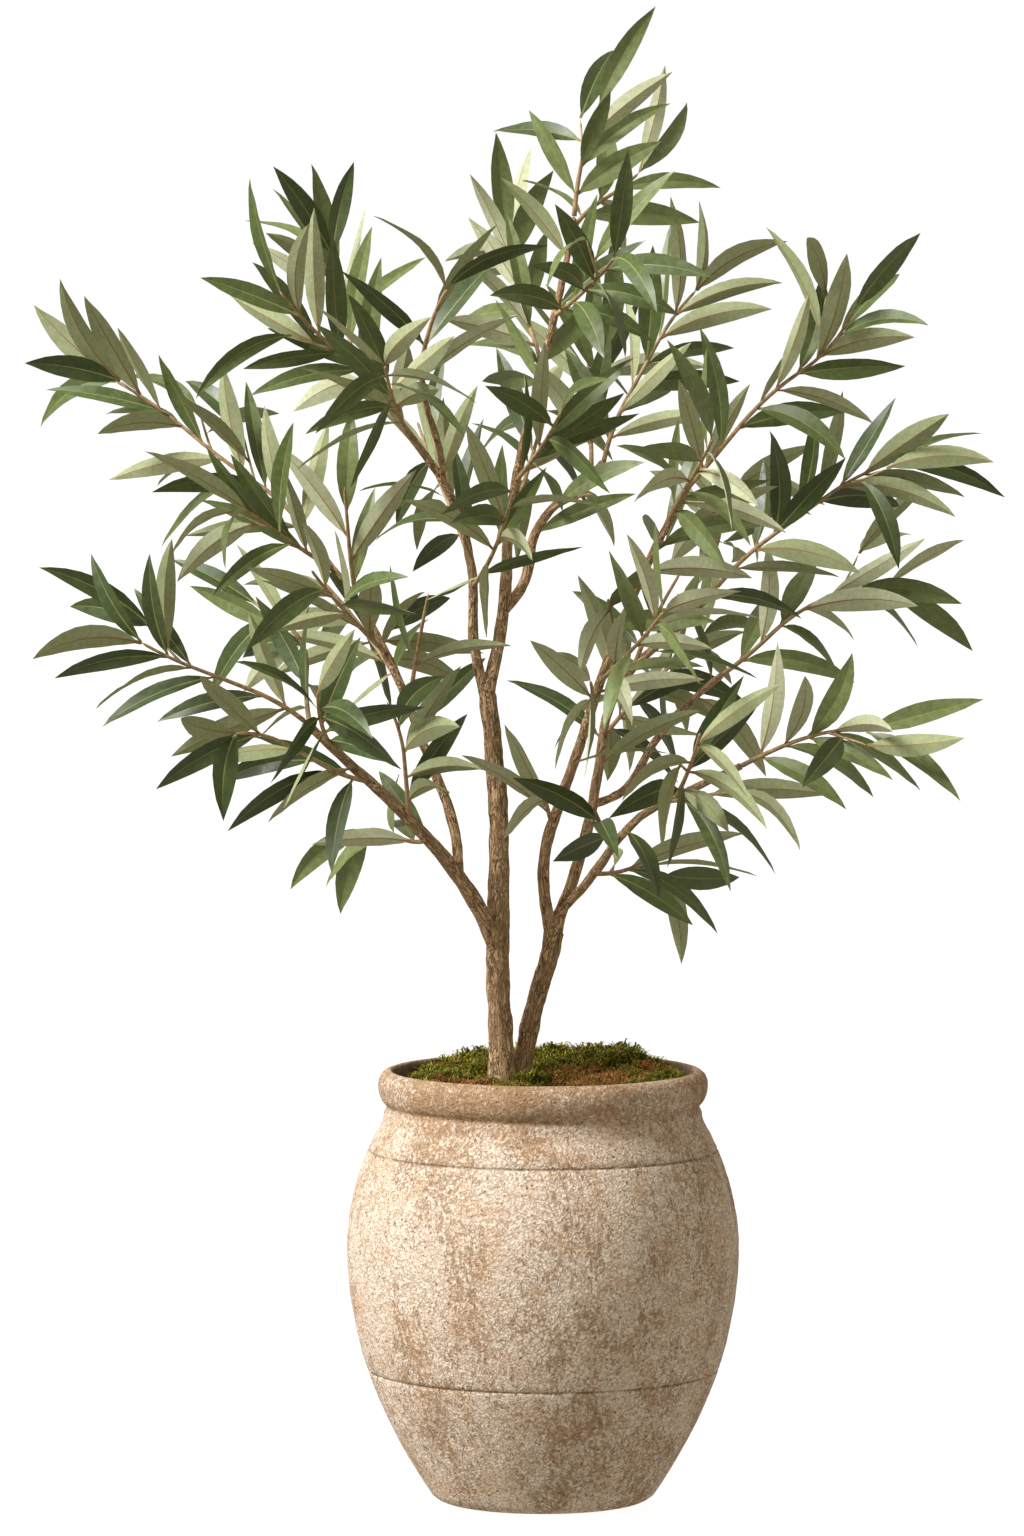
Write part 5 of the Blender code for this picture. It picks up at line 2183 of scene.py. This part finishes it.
@dataclass(frozen=True)
class Studio:
    """A pale floor, a white surround, a soft key light and the photograph's camera.

    Places, sizes and radii are in metres and angles in degrees. The focal
    length is in pixels of an image of the given height.
    """

    camera_place: tuple[float, float, float] = (-0.028, -7.043, 1.158)
    camera_pitch: float = 4.03
    focal_pixels: float = 7850.0
    image_height: float = 1536.0
    sensor: float = 36.0
    key_strength: float = 5.2
    key_side: float = 66.0
    key_height: float = 42.0
    key_softness: float = 24.0
    ambient: Colour = (0.475, 0.435, 0.365)
    floor_size: float = 70.0
    floor_drop: float = 0.0002
    floor_colour: Colour = (0.05, 0.05, 0.05)
    floor_glow: float = 0.95
    surround_radius: float = 36.0
    surround_segments: int = 48

    def build(self) -> None:
        """Build everything round the plant."""
        self.build_camera()
        self.build_key()
        self.build_floor()
        self.build_surround()
        world = bpy.data.worlds.new("studio")
        world.use_nodes = True
        background = world.node_tree.nodes["Background"]
        background.inputs["Color"].default_value = (*self.ambient, 1.0)
        bpy.context.scene.world = world
        bpy.context.scene.view_settings.view_transform = "Standard"

    def build_camera(self) -> None:
        """Add the camera, with the long side of its sensor upright."""
        data = bpy.data.cameras.new("camera")
        data.sensor_width = self.sensor
        data.lens = self.sensor * self.focal_pixels / self.image_height
        camera = bpy.data.objects.new("camera", data)
        camera.location = self.camera_place
        camera.rotation_euler = (math.radians(90 - self.camera_pitch), 0, 0)
        bpy.context.scene.collection.objects.link(camera)
        bpy.context.scene.camera = camera

    def build_key(self) -> None:
        """Add the soft key light, high on the left in front."""
        data = bpy.data.lights.new("key", "SUN")
        data.energy = self.key_strength
        data.angle = math.radians(self.key_softness)
        key = bpy.data.objects.new("key", data)
        side, height = math.radians(self.key_side), math.radians(self.key_height)
        flat = math.cos(height)
        towards = Vector((-math.sin(side) * flat, -math.cos(side) * flat, math.sin(height)))
        key.rotation_euler = towards.to_track_quat("Z", "Y").to_euler()
        bpy.context.scene.collection.objects.link(key)

    def build_floor(self) -> None:
        """Add the pale floor, which the pot stands on and which throws no light back."""
        deselect()
        bpy.ops.mesh.primitive_plane_add(size=self.floor_size, location=(0, 0, -self.floor_drop))
        floor = bpy.context.object
        self.glow(floor, "floor", self.floor_colour, self.floor_glow)
        floor.visible_diffuse = False
        floor.visible_glossy = False

    def build_surround(self) -> None:
        """Add the white surround, which only the camera sees."""
        deselect()
        rings = self.surround_segments // 2
        bpy.ops.mesh.primitive_uv_sphere_add(
            segments=self.surround_segments, ring_count=rings, radius=self.surround_radius
        )
        surround = bpy.context.object
        self.glow(surround, "surround", (0.0, 0.0, 0.0), 1.0)
        for flag in ("visible_diffuse", "visible_glossy", "visible_transmission", "visible_shadow"):
            setattr(surround, flag, False)

    @staticmethod
    def glow(backdrop: bpy.types.Object, name: str, colour: Colour, strength: float) -> None:
        """Name a backdrop and give it a colour that also shines white.

        Args:
            backdrop: The floor or the surround.
            name: Its name.
            colour: Its own colour.
            strength: How brightly it shines.
        """
        backdrop.name = name
        shader = Shader(name)
        surface = {"Base Color": colour, "Emission Color": (1.0, 1.0, 1.0), "Emission Strength": strength}
        backdrop.data.materials.append(shader.finish(surface))


def dress_soil() -> None:
    """Give the soil, which the moss hides, its own finish."""
    soil = PlainFinish("soil", (0.07, 0.045, 0.03), roughness=1.0, specular=0.1, spread=0.4, scale=220.0)
    materials = frame["nodes"]["soil"].data.materials
    materials.clear()
    materials.append(soil.make())


def main() -> None:
    """Build the studio and the plant, piece by piece."""
    logging.basicConfig(level=logging.INFO, format="%(name)s: %(message)s")
    Studio().build()
    dress_soil()
    Jar().build(ClayFinish())
    Moss().build()
    wood = Wood()
    wood.grow()
    wood.build(BarkFinish())
    crown = Crown(wood, LeafPattern())
    crown.grow()
    crown.build()


if __name__ == "__main__":
    main()
